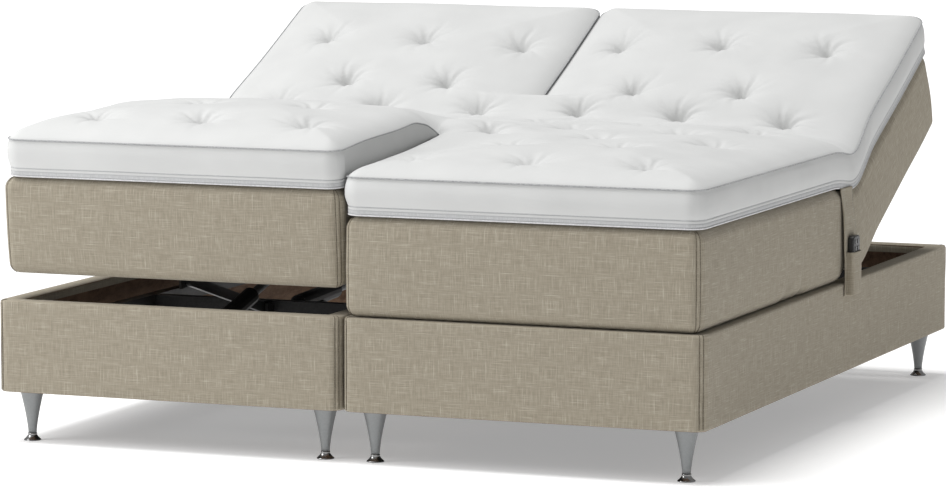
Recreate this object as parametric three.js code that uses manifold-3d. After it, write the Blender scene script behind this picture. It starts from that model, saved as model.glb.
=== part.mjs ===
// Adjustable double bed on two motorised units, in millimetres, +Z up.
// Each unit is a bottomless lower box on four legs. A steel sub-frame inside the box carries a fixed
// seat panel and hinged back, thigh and calf panels with upholstered blocks on them. One topper, slit
// between the units at the head and at the foot, lies over both. The foot of the bed faces -Y.
// Distances along the bed are counted from the foot end and are shifted to the centre at the end.

import * as THREE from 'three';
import { mergeVertices } from 'three/addons/utils/BufferGeometryUtils.js';
import Module from 'manifold-3d';

const wasm = await Module();
wasm.setup();

// Overall sizes
const BED_WIDTH = 1800;
const BED_LENGTH = 2000;
const CENTRE_GAP = 4;
const GAP = 0.3;

// Lower box of a unit
const BOX_BOTTOM = 124;
const BOX_TOP = 346;
const BOX_CORNER_RADIUS = 30;
const COVER_THICKNESS = 2.2;
const WALL_THICKNESS = 18;
const RIM_WIDTH = 46;
const RIM_THICKNESS = 18;
const LEG_BLOCK_SIZE = 92;
const LEG_BLOCK_HEIGHT = 40;

// Legs
const LEG_INSET = 62;
const LEG_TOP_RADIUS = 29;
const LEG_FOOT_RADIUS = 10;
const GLIDE_HEIGHT = 18;
const GLIDE_RADIUS = 22.5;

// Sections along the bed and their hinges
const HINGE_Z = 338;
const BACK_HINGE_Y = 1205;
const THIGH_HINGE_Y = 900;
const THIGH_LENGTH = 300;
const CALF_LENGTH = 594;
const BACK_LENGTH = 778;
const BACK_REST_DEG = 25;
const BACK_MAX_DEG = 50;
const THIGH_REST_DEG = { left: 22, right: 0 };
const THIGH_MAX_DEG = 32;
const CALF_RATIO = 1.2;

// Panels under the blocks
const PANEL_TOP = 346;
const PANEL_THICKNESS = 14;
const PANEL_HALF_WIDTH = 385;
const PANEL_SETBACK = 8;
const RIB_WIDTH = 25;
const RIB_DEPTH = 30;
const RIB_OFFSET = 330;
const RIB_SETBACK = 20;
const BACK_PANEL_LENGTH = 732;
const CALF_PANEL_LENGTH = 532;
const CALF_RIB_LENGTH = 330;

// Upholstered blocks and topper
const BLOCK_BOTTOM = 346.5;
const BLOCK_TOP = 583.5;
const BLOCK_INNER = 6;
const BLOCK_OUTER = 889;
const BLOCK_ROUNDING = 22;
const BACK_BLOCK_TOP = 228;
const TOPPER_HEIGHT = 125;
const TOPPER_OUTER = 897;
const TOPPER_SLIT = 1.5;
const TOPPER_OVERHANG = 4;
const TOPPER_ROUNDING = 18;

// Steel sub-frame
const RAIL_BOTTOM = 250;
const RAIL_HEIGHT = 35;
const RAIL_WIDTH = 30;
const RAIL_OFFSET = 370;
const CROSS_TUBES = [150, 685, 1500, 1900];
const CROSS_TUBE_WIDTH = 30;
const SEAT_BARS = [912, 1158];
const SEAT_BAR_WIDTH = 30;
const SEAT_BAR_DEPTH = 15;

// Drives: where each is pinned to the sub-frame, and its pin on the moving panel as a distance along
// the panel from its hinge and a drop below the hinge line
const LEG_DRIVE = { y: 200, z: 266, along: 230, drop: 36, offset: 22 };
const BACK_DRIVE = { y: 740, z: 266, along: 20, drop: 70, offset: 0 };
const CALF_LINK = { y: 660, z: 268, along: 400, drop: 36, offset: -40 };
const DRIVE_RADIUS = 22;
const DRIVE_BORE = 13;
const ROD_RADIUS = 11;
const PIN_RADIUS = 6;
const PIN_PLAY = 1.5;
const EYE_RADIUS = 13;
const PLATE = 6;

// Handset and its fabric holder on the right-hand side
const HOLDER_Y = 1105;
const HOLDER_WIDTH = 100;
const HOLDER_BOTTOM = 315;
const HOLDER_X = 901;
const HOLDER_THICKNESS = 2.5;
const HOLDER_TOP = 564;
const POCKET_TOP = 424;
const POCKET_WIDTH = 70;
const HANDSET = { width: 54, thickness: 16, height: 142, bottom: 322 };
const BUTTON = { size: 11, pitchY: 20, pitchZ: 17, depth: 3, proud: 1.6, top: 449 };

const ANGLE_STEPS = 10;
const ROUND_SIDES = 14;
const rad = THREE.MathUtils.degToRad;

// --- Materials -----------------------------------------------------------------------------------

const finish = (color, roughness, metalness = 0) =>
  new THREE.MeshStandardMaterial({ color, roughness, metalness });

const linen = finish(0xa59b85, 0.9);
const ticking = finish(0xe6e7ea, 0.9);
const chipboard = finish(0x6b5442, 0.8);
const blackSteel = finish(0x17181a, 0.5, 0.6);
const greySteel = finish(0x9b9da0, 0.4, 0.8);
const chrome = finish(0xc9cbcd, 0.15, 1);
const blackPlastic = finish(0x151517, 0.45);
const keyPlastic = finish(0x5d6064, 0.5);

// --- Shapes --------------------------------------------------------------------------------------

function toSolid(geometry) {
  const bare = geometry.index ? geometry.toNonIndexed() : geometry.clone();
  bare.deleteAttribute('normal');
  bare.deleteAttribute('uv');
  const merged = mergeVertices(bare, 1e-3);
  return new wasm.Manifold(new wasm.Mesh({
    numProp: 3,
    vertProperties: merged.attributes.position.array,
    triVerts: new Uint32Array(merged.index.array),
  }));
}

function toGeometry(solid) {
  const mesh = solid.getMesh();
  const geometry = new THREE.BufferGeometry();
  geometry.setAttribute('position', new THREE.BufferAttribute(mesh.vertProperties, 3));
  geometry.setIndex(new THREE.BufferAttribute(mesh.triVerts, 1));
  geometry.computeVertexNormals();
  return geometry;
}

function join(geometries) {
  return toGeometry(geometries.map(toSolid).reduce((all, next) => all.add(next)));
}

function cut(geometry, tools) {
  return toGeometry(tools.map(toSolid).reduce((rest, tool) => rest.subtract(tool), toSolid(geometry)));
}

// A box between two corners
function block(x0, x1, y0, y1, z0, z1) {
  const geometry = new THREE.BoxGeometry(x1 - x0, y1 - y0, z1 - z0);
  return geometry.translate((x0 + x1) / 2, (y0 + y1) / 2, (z0 + z1) / 2);
}

// A cylinder along X between x0 and x1, centred on (y, z)
function bar(x0, x1, y, z, radius, sides = ROUND_SIDES) {
  const geometry = new THREE.CylinderGeometry(radius, radius, x1 - x0, sides);
  return geometry.rotateZ(Math.PI / 2).translate((x0 + x1) / 2, y, z);
}

// An outline with its corners rounded; each point is [a, b] or [a, b, its own radius]
function roundedOutline(points, radius) {
  const shape = new THREE.Shape();
  points.forEach(([a, b, own], i) => {
    const here = new THREE.Vector2(a, b);
    const before = new THREE.Vector2(...points.at(i - 1).slice(0, 2));
    const after = new THREE.Vector2(...points[(i + 1) % points.length].slice(0, 2));
    const r = own ?? radius;
    const from = before.sub(here).setLength(r).add(here);
    const to = after.sub(here).setLength(r).add(here);
    if (i === 0) {
      shape.moveTo(from.x, from.y);
    } else {
      shape.lineTo(from.x, from.y);
    }
    if (r > 0) {
      shape.quadraticCurveTo(here.x, here.y, to.x, to.y);
    }
  });
  shape.closePath();
  return shape;
}

// A side view in (y, z), extruded across the bed from x0 to x1
function fromSideView(points, x0, x1, radius) {
  const shape = roundedOutline(points, radius);
  const geometry = new THREE.ExtrudeGeometry(shape, {
    depth: x1 - x0, bevelEnabled: false, curveSegments: 2,
  });
  const sideways = new THREE.Matrix4().makeBasis(
    new THREE.Vector3(0, 1, 0), new THREE.Vector3(0, 0, 1), new THREE.Vector3(1, 0, 0));
  return geometry.applyMatrix4(sideways).translate(x0, 0, 0);
}

// A rounded rectangle in plan, as wide and as long as the unit less an inset all round
function unitOutline(inset, radius) {
  const halfWidth = BED_WIDTH / 4 - CENTRE_GAP / 4 - inset;
  const path = new THREE.Shape();
  const [x0, x1] = [-halfWidth, halfWidth];
  const [y0, y1] = [inset, BED_LENGTH - inset];
  path.moveTo(x0 + radius, y0);
  path.lineTo(x1 - radius, y0);
  path.absarc(x1 - radius, y0 + radius, radius, -Math.PI / 2, 0);
  path.lineTo(x1, y1 - radius);
  path.absarc(x1 - radius, y1 - radius, radius, 0, Math.PI / 2);
  path.lineTo(x0 + radius, y1);
  path.absarc(x0 + radius, y1 - radius, radius, Math.PI / 2, Math.PI);
  path.lineTo(x0, y0 + radius);
  path.absarc(x0 + radius, y0 + radius, radius, Math.PI, Math.PI * 1.5);
  return path;
}

// An upright ring between two insets
function ring(outerInset, innerInset, z0, z1) {
  const shape = unitOutline(outerInset, BOX_CORNER_RADIUS - outerInset);
  shape.holes.push(unitOutline(innerInset, Math.max(BOX_CORNER_RADIUS - innerInset, 4)));
  const geometry = new THREE.ExtrudeGeometry(shape, {
    depth: z1 - z0, bevelEnabled: false, curveSegments: 3,
  });
  return geometry.translate(0, 0, z0);
}

// --- Moving frames -------------------------------------------------------------------------------

// A point on a panel, at a distance along it from its hinge and a drop below the hinge line.
// angle lifts the panel; direction is +1 towards the head and -1 towards the foot.
function onPanel(hinge, direction, angle, along, drop) {
  return {
    y: hinge.y + direction * (along * Math.cos(angle) + drop * Math.sin(angle)),
    z: hinge.z + along * Math.sin(angle) - drop * Math.cos(angle),
  };
}

const backHinge = { y: BACK_HINGE_Y, z: HINGE_Z };
const thighHinge = { y: THIGH_HINGE_Y, z: HINGE_Z };
const backPin = (angle) => onPanel(backHinge, 1, angle, BACK_DRIVE.along, BACK_DRIVE.drop);
const thighPin = (angle) => onPanel(thighHinge, -1, angle, LEG_DRIVE.along, LEG_DRIVE.drop);
const knee = (angle) => onPanel(thighHinge, -1, angle, THIGH_LENGTH, 0);
const calfPin = (angle) =>
  onPanel(knee(angle), -1, angle * (1 - CALF_RATIO), CALF_LINK.along, CALF_LINK.drop);

// A drive turns and lengthens in proportion to its panel's angle, exact at both ends of the travel.
// Between them its pin wanders a few millimetres, which the slot in the panel's lug takes up.
function proportionalDrive(foot, pinAt, maxDeg, slides) {
  const reach = (angle) => {
    const pin = pinAt(angle);
    const [dy, dz] = [pin.y - foot.y, pin.z - foot.z];
    return { turn: Math.atan2(dz, dy), length: Math.hypot(dy, dz) };
  };
  const [low, high] = [reach(0), reach(rad(maxDeg))];
  const swing = Math.atan2(Math.sin(high.turn - low.turn), Math.cos(high.turn - low.turn));
  const fixedLength = (low.length + high.length) / 2;
  return (angle) => {
    const share = angle / rad(maxDeg);
    const turn = low.turn + swing * share;
    const length = slides ? low.length + (high.length - low.length) * share : fixedLength;
    return { turn, length, y: foot.y + length * Math.cos(turn), z: foot.z + length * Math.sin(turn) };
  };
}

const backDrive = proportionalDrive(BACK_DRIVE, backPin, BACK_MAX_DEG, true);
const legDrive = proportionalDrive(LEG_DRIVE, thighPin, THIGH_MAX_DEG, true);
const calfLink = proportionalDrive(CALF_LINK, calfPin, THIGH_MAX_DEG, false);

// Where a drive's pin lies in its panel's own frame, at each step of the travel
function pinTrack(drive, hingeAt, tiltAt, direction, maxDeg) {
  const track = [];
  for (let i = 0; i <= ANGLE_STEPS; i += 1) {
    const angle = rad(maxDeg) * i / ANGLE_STEPS;
    const hinge = hingeAt(angle);
    const pin = drive(angle);
    const tilt = tiltAt(angle) * direction;
    const [dy, dz] = [pin.y - hinge.y, pin.z - hinge.z];
    track.push([
      dy * Math.cos(tilt) + dz * Math.sin(tilt),
      -dy * Math.sin(tilt) + dz * Math.cos(tilt),
    ]);
  }
  return track;
}

const backTrack = pinTrack(backDrive, () => backHinge, (a) => a, 1, BACK_MAX_DEG);
const thighTrack = pinTrack(legDrive, () => thighHinge, (a) => a, -1, THIGH_MAX_DEG);
const calfTrack = pinTrack(calfLink, knee, (a) => a * (1 - CALF_RATIO), -1, THIGH_MAX_DEG);

// --- Lower box -----------------------------------------------------------------------------------

const wallInset = COVER_THICKNESS + GAP;

function boxFrame() {
  const rimTop = BOX_TOP - COVER_THICKNESS - GAP;
  const walls = ring(wallInset, wallInset + WALL_THICKNESS, BOX_BOTTOM, rimTop);
  const rim = ring(wallInset + 1, wallInset + RIM_WIDTH, rimTop - RIM_THICKNESS, rimTop);
  const halfWidth = BED_WIDTH / 4 - CENTRE_GAP / 4;
  const inner = wallInset + WALL_THICKNESS - 1;
  const pieces = [walls, rim];
  for (const x of [-1, 1]) {
    for (const y of [0, 1]) {
      const near = halfWidth - inner;
      const far = near - LEG_BLOCK_SIZE;
      const [x0, x1] = x < 0 ? [-near, -far] : [far, near];
      const y0 = y === 0 ? inner : BED_LENGTH - inner - LEG_BLOCK_SIZE;
      pieces.push(block(x0, x1, y0, y0 + LEG_BLOCK_SIZE, BOX_BOTTOM, BOX_BOTTOM + LEG_BLOCK_HEIGHT));
    }
  }
  return join(pieces);
}

// The cover wraps the outside of the box and turns over its rim
function boxCover() {
  return join([
    ring(0, COVER_THICKNESS, BOX_BOTTOM, BOX_TOP),
    ring(0.5, wallInset + RIM_WIDTH, BOX_TOP - COVER_THICKNESS, BOX_TOP),
  ]);
}

function leg() {
  const top = BOX_BOTTOM - GAP;
  const foot = GLIDE_HEIGHT + GAP;
  const rows = 5;
  const profile = [new THREE.Vector2(0, foot)];
  for (let i = 0; i <= rows; i += 1) {
    const t = i / rows;
    const radius = LEG_FOOT_RADIUS + (LEG_TOP_RADIUS - LEG_FOOT_RADIUS) * t ** 1.9;
    profile.push(new THREE.Vector2(radius, foot + (top - foot) * t));
  }
  profile.push(new THREE.Vector2(0, top));
  return new THREE.LatheGeometry(profile, ROUND_SIDES).rotateX(Math.PI / 2);
}

function glide() {
  const profile = [
    [0, 0], [GLIDE_RADIUS, 0], [GLIDE_RADIUS, 3], [GLIDE_RADIUS * 0.6, 9],
    [LEG_FOOT_RADIUS, GLIDE_HEIGHT], [0, GLIDE_HEIGHT],
  ].map(([r, z]) => new THREE.Vector2(r, z));
  return new THREE.LatheGeometry(profile, ROUND_SIDES).rotateX(Math.PI / 2);
}

// --- Hinges between panels -----------------------------------------------------------------------

const KNUCKLE_RADIUS = 7;
const KNUCKLE_WIDTH = 16;
const KNUCKLE_OFFSET = 290;
const HINGE_PIN_RADIUS = 3;

// The knuckle with the pin, on the side that the panel named by direction lies
function pinnedKnuckles(direction) {
  const reach = direction * (PANEL_SETBACK + 4);
  return [-1, 1].flatMap((side) => {
    const x0 = side * KNUCKLE_OFFSET - KNUCKLE_WIDTH / 2;
    const x1 = x0 + KNUCKLE_WIDTH;
    return [
      bar(x0, x1, 0, 0, KNUCKLE_RADIUS, 12),
      bar(x0 + 1, x1 + KNUCKLE_WIDTH, 0, 0, HINGE_PIN_RADIUS, 12),
      block(x0, x1, Math.min(0, reach), Math.max(0, reach), -6, 2),
    ];
  });
}

function boredKnuckles(direction) {
  const reach = direction * (PANEL_SETBACK + 4);
  return [-1, 1].flatMap((side) => {
    const x0 = side * KNUCKLE_OFFSET + KNUCKLE_WIDTH / 2 + 0.5;
    const x1 = x0 + KNUCKLE_WIDTH;
    return [
      bar(x0, x1, 0, 0, KNUCKLE_RADIUS, 12),
      block(x0, x1, Math.min(0, reach), Math.max(0, reach), -6, 2),
    ];
  });
}

function knuckleBores() {
  return [-1, 1].map((side) => {
    const x0 = side * KNUCKLE_OFFSET + KNUCKLE_WIDTH / 2 - 2;
    return bar(x0, x0 + KNUCKLE_WIDTH + 6, 0, 0, HINGE_PIN_RADIUS + PIN_PLAY / 2, 12);
  });
}

// --- Panels --------------------------------------------------------------------------------------

const boardTop = PANEL_TOP - HINGE_Z;
const boardBottom = boardTop - PANEL_THICKNESS;

// A panel and its two ribs, in its own frame, from near its hinge out to its length
function panelPieces(direction, length, ribEnd = length) {
  const ends = [direction * PANEL_SETBACK, direction * length].sort((a, b) => a - b);
  const ribEnds = [direction * RIB_SETBACK, direction * ribEnd].sort((a, b) => a - b);
  const ribs = [-1, 1].map((side) => block(
    side * RIB_OFFSET - RIB_WIDTH / 2, side * RIB_OFFSET + RIB_WIDTH / 2,
    ...ribEnds, boardBottom - RIB_DEPTH, boardBottom + 1));
  return [block(-PANEL_HALF_WIDTH, PANEL_HALF_WIDTH, ...ends, boardBottom, boardTop), ...ribs];
}

// A lug hanging from a panel round a pin's track, from x0 to x0 + PLATE
function trackLug(track, x0) {
  const ys = track.map(([y]) => y);
  const zs = track.map(([, z]) => z);
  const margin = PIN_RADIUS + PIN_PLAY + 6;
  return block(x0, x0 + PLATE, Math.min(...ys) - margin, Math.max(...ys) + margin,
    Math.min(...zs) - margin, boardBottom + 1);
}

// The slot that a pin's track needs: the pin's own section at each step of the travel
function trackSlot(track, x0) {
  return track.map(([y, z]) => bar(x0 - 2, x0 + PLATE + 2, y, z, PIN_RADIUS + PIN_PLAY, 10));
}

function backPanel() {
  const lugs = [-1, 1].map((side) => BACK_DRIVE.offset + side * 22 - PLATE / 2);
  const solid = join([
    ...panelPieces(1, BACK_PANEL_LENGTH), ...boredKnuckles(1),
    ...lugs.map((x0) => trackLug(backTrack, x0)),
  ]);
  return cut(solid, [...knuckleBores(), ...lugs.flatMap((x0) => trackSlot(backTrack, x0))]);
}

function thighPanel() {
  const lugs = [-1, 1].map((side) => LEG_DRIVE.offset + side * 22 - PLATE / 2);
  const pieces = [
    ...panelPieces(-1, THIGH_LENGTH - PANEL_SETBACK, THIGH_LENGTH - RIB_SETBACK),
    ...boredKnuckles(-1), ...lugs.map((x0) => trackLug(thighTrack, x0)),
    ...pinnedKnuckles(1).map((piece) => piece.translate(0, -THIGH_LENGTH, 0)),
  ];
  return cut(join(pieces), [...knuckleBores(), ...lugs.flatMap((x0) => trackSlot(thighTrack, x0))]);
}

function calfPanel() {
  const x0 = CALF_LINK.offset - 12 - PLATE;
  const pieces = [
    ...panelPieces(-1, CALF_PANEL_LENGTH, CALF_RIB_LENGTH), ...boredKnuckles(-1),
    trackLug(calfTrack, x0),
  ];
  return cut(join(pieces), [...knuckleBores(), ...trackSlot(calfTrack, x0)]);
}

// --- Sub-frame -----------------------------------------------------------------------------------

// Two lugs that reach from a cross tube to a pin, with the pin between them
function pinnedLugs(place, tubeY, halfGap) {
  const [y0, y1] = [Math.min(tubeY, place.y - EYE_RADIUS), Math.max(tubeY, place.y + EYE_RADIUS)];
  const plates = [-1, 1].map((side) => {
    const x = place.offset + side * (halfGap + PLATE / 2);
    return block(x - PLATE / 2, x + PLATE / 2, y0, y1, place.z - EYE_RADIUS, place.z + EYE_RADIUS);
  });
  const reach = halfGap + PLATE / 2;
  return [...plates, bar(place.offset - reach, place.offset + reach, place.y, place.z, PIN_RADIUS)];
}

function subFrame() {
  const railTop = RAIL_BOTTOM + RAIL_HEIGHT;
  const end = wallInset + WALL_THICKNESS + 2 * GAP;
  const pieces = [];
  for (const side of [-1, 1]) {
    const [x0, x1] = [side * RAIL_OFFSET - RAIL_WIDTH / 2, side * RAIL_OFFSET + RAIL_WIDTH / 2];
    pieces.push(block(x0, x1, end, BED_LENGTH - end, RAIL_BOTTOM, railTop));
    const postTop = PANEL_TOP - PANEL_THICKNESS;
    for (const y of SEAT_BARS) {
      pieces.push(block(x0, x1, y, y + SEAT_BAR_WIDTH, railTop - 1, postTop + 1));
    }
  }
  for (const y of CROSS_TUBES) {
    pieces.push(block(-RAIL_OFFSET, RAIL_OFFSET, y, y + CROSS_TUBE_WIDTH, RAIL_BOTTOM + 0.5, railTop - 0.5));
  }
  for (const y of SEAT_BARS) {
    pieces.push(block(-RAIL_OFFSET, RAIL_OFFSET, y + 0.5, y + SEAT_BAR_WIDTH - 0.5,
      PANEL_TOP - PANEL_THICKNESS - SEAT_BAR_DEPTH, PANEL_TOP - PANEL_THICKNESS + 0.5));
  }
  pieces.push(block(-PANEL_HALF_WIDTH, PANEL_HALF_WIDTH, THIGH_HINGE_Y + PANEL_SETBACK,
    BACK_HINGE_Y - PANEL_SETBACK, PANEL_TOP - PANEL_THICKNESS, PANEL_TOP));
  pieces.push(...pinnedKnuckles(-1).map((piece) => piece.translate(0, BACK_HINGE_Y, HINGE_Z)));
  pieces.push(...pinnedKnuckles(1).map((piece) => piece.translate(0, THIGH_HINGE_Y, HINGE_Z)));
  const midTube = CROSS_TUBES[1];
  pieces.push(...pinnedLugs(LEG_DRIVE, CROSS_TUBES[0] + CROSS_TUBE_WIDTH - 2, 16));
  pieces.push(...pinnedLugs(BACK_DRIVE, midTube + CROSS_TUBE_WIDTH - 2, 16));
  pieces.push(...pinnedLugs(CALF_LINK, midTube + 2, 8));
  return join(pieces);
}

// --- Drives, drawn along +Y from the pivot -------------------------------------------------------

// A cylinder along Y
function tubeAlongY(y0, y1, radius, sides = ROUND_SIDES) {
  return new THREE.CylinderGeometry(radius, radius, y1 - y0, sides).translate(0, (y0 + y1) / 2, 0);
}

// The drive's housing: an eye on the pin, a guide tube for the rod and a gear motor hung below it
function driveHousing(length) {
  const eye = bar(-15, 15, 0, 0, EYE_RADIUS);
  const neck = block(-15, 15, 0, 45, -8, 8);
  const tube = tubeAlongY(38, length, DRIVE_RADIUS);
  const motor = fromSideView([[42, -78], [165, -78], [165, -10], [42, -10]], -25, 25, 10);
  const solid = join([eye, neck, tube, motor]);
  return cut(solid, [
    bar(-20, 20, 0, 0, PIN_RADIUS + PIN_PLAY / 4),
    tubeAlongY(52, length + 5, DRIVE_BORE),
  ]);
}

// The rod, with a crossing pin at its far end; y is counted from the housing's pivot at rest
function driveRod(pinY, length) {
  return join([
    tubeAlongY(pinY - length, pinY, ROD_RADIUS),
    bar(-13, 13, pinY, 0, EYE_RADIUS),
    bar(-22 - PLATE, 22 + PLATE, pinY, 0, PIN_RADIUS),
  ]);
}

// The calf link: a flat bar with a bored eye at the sub-frame and a pin at the panel's lug
function linkBar(length) {
  const height = 26;
  const solid = join([
    bar(-6, 6, 0, 0, EYE_RADIUS),
    bar(-6, 6, length, 0, EYE_RADIUS),
    block(-6, 6, 0, length, -height / 2 + 0.5, height / 2 - 0.5),
    bar(-14 - PLATE, 0, length, 0, PIN_RADIUS),
  ]);
  return cut(solid, [bar(-10, 10, 0, 0, PIN_RADIUS + PIN_PLAY / 4)]);
}

// --- Soft pieces ---------------------------------------------------------------------------------

// Each block leans back from its hinge line by half of the fold that closes over that hinge
const foldSlope = (maxDeg) => Math.tan(rad(maxDeg / 2 + 0.5));

function softSection(foldMin, foldMax, x0, x1, y0, y1, z0, z1, rounding) {
  const lower = z0 - HINGE_Z;
  const upper = z1 - HINGE_Z;
  const points = [
    [y0 + lower * foldMin, z0, foldMin > 0 ? 0 : rounding],
    [y1 - lower * foldMax, z0, foldMax > 0 ? 0 : rounding],
    [y1 - upper * foldMax, z1, foldMax > 0 ? 6 : rounding],
    [y0 + upper * foldMin, z1, foldMin > 0 ? 6 : rounding],
  ];
  return fromSideView(points, x0, x1, rounding);
}

const backFold = foldSlope(BACK_MAX_DEG);
const thighFold = foldSlope(THIGH_MAX_DEG);
const BUTT = 1;

function seatBlock(x0, x1) {
  return softSection(thighFold, backFold, x0, x1, THIGH_HINGE_Y, BACK_HINGE_Y,
    BLOCK_BOTTOM, BLOCK_TOP, BLOCK_ROUNDING);
}

// In its panel's frame; z is counted from the hinge
function panelBlock(direction, fold, near, far, x0, x1, z0, z1, rounding) {
  const points = [
    [near + z0 * fold, z0, fold > 0 ? 0 : rounding / 3],
    [far, z0, rounding],
    [far, z1, rounding],
    [near + z1 * fold, z1, fold > 0 ? 6 : rounding / 3],
  ].map(([y, z, r]) => [direction * y, z, r]);
  if (direction < 0) {
    points.reverse();
  }
  return fromSideView(points, x0, x1, rounding);
}

const lift = (z) => z - HINGE_Z;
const topperBottom = BLOCK_TOP + 2 * GAP;
const topperTop = topperBottom + TOPPER_HEIGHT;

// --- Handset and holder --------------------------------------------------------------------------

// A strap that hangs over the edge of the block, with a pocket sewn on its outer side
function handsetHolder() {
  const [y0, y1] = [HOLDER_Y - HOLDER_WIDTH / 2, HOLDER_Y + HOLDER_WIDTH / 2];
  const t = HOLDER_THICKNESS;
  const bend = POCKET_TOP - HOLDER_BOTTOM + 60;
  const lean = BLOCK_OUTER + 1 - HOLDER_X;
  const strap = fromSideView([
    [0, 0], [t, 0], [t, bend], [lean + t, HOLDER_TOP - HOLDER_BOTTOM],
    [lean, HOLDER_TOP - HOLDER_BOTTOM], [0, bend],
  ], 0, y1 - y0, 0);
  strap.applyMatrix4(new THREE.Matrix4().makeBasis(
    new THREE.Vector3(0, -1, 0), new THREE.Vector3(1, 0, 0), new THREE.Vector3(0, 0, 1)));
  strap.translate(HOLDER_X, y1, HOLDER_BOTTOM);
  const pocketOut = HOLDER_X + t + HANDSET.thickness + 2 + t;
  const [p0, p1] = [HOLDER_Y - POCKET_WIDTH / 2, HOLDER_Y + POCKET_WIDTH / 2];
  const pocket = block(HOLDER_X + 0.5, pocketOut, p0, p1, HOLDER_BOTTOM + 2, POCKET_TOP);
  const room = block(HOLDER_X + t, pocketOut - t, HOLDER_Y - HANDSET.width / 2 - 1,
    HOLDER_Y + HANDSET.width / 2 + 1, HANDSET.bottom - 1, POCKET_TOP + 5);
  return cut(join([strap, pocket]), [room]);
}

const handsetX = HOLDER_X + HOLDER_THICKNESS + 1;

function buttonPlaces() {
  const places = [];
  for (const row of [0, 1]) {
    for (const column of [-1, 1]) {
      places.push({ y: HOLDER_Y + column * BUTTON.pitchY / 2, z: BUTTON.top - row * BUTTON.pitchZ });
    }
  }
  return places;
}

function handset() {
  const { width, thickness, height, bottom } = HANDSET;
  const outline = roundedOutline([
    [-width / 2, 0], [width / 2, 0], [width / 2, height], [-width / 2, height],
  ], 12);
  const geometry = new THREE.ExtrudeGeometry(outline, {
    depth: thickness, bevelEnabled: false, curveSegments: 3,
  });
  geometry.applyMatrix4(new THREE.Matrix4().makeBasis(
    new THREE.Vector3(0, 1, 0), new THREE.Vector3(0, 0, 1), new THREE.Vector3(1, 0, 0)));
  geometry.translate(handsetX, HOLDER_Y, bottom);
  const face = handsetX + thickness;
  const half = BUTTON.size / 2 + GAP;
  return cut(geometry, buttonPlaces().map(({ y, z }) =>
    block(face - BUTTON.depth, face + 5, y - half, y + half, z - half, z + half)));
}

function button({ y, z }) {
  const face = handsetX + HANDSET.thickness;
  const half = BUTTON.size / 2;
  const front = face + BUTTON.proud;
  const back = front - BUTTON.depth;
  return block(back, front, y - half, y + half, z - half, z + half);
}

// --- Assembly ------------------------------------------------------------------------------------

function named(name, geometry, material) {
  const mesh = new THREE.Mesh(geometry, material);
  mesh.name = name;
  return mesh;
}

function hingedGroup(parent, y, z, angle) {
  const group = new THREE.Group();
  group.position.set(0, y, z);
  group.rotation.x = angle;
  parent.add(group);
  return group;
}

// Topper pieces lie over one half of the bed, from its slit out to its side
function topperSpan(side, unitX) {
  const span = side === 'left' ? [-TOPPER_OUTER, -TOPPER_SLIT] : [TOPPER_SLIT, TOPPER_OUTER];
  return span.map((x) => x - unitX);
}

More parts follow.
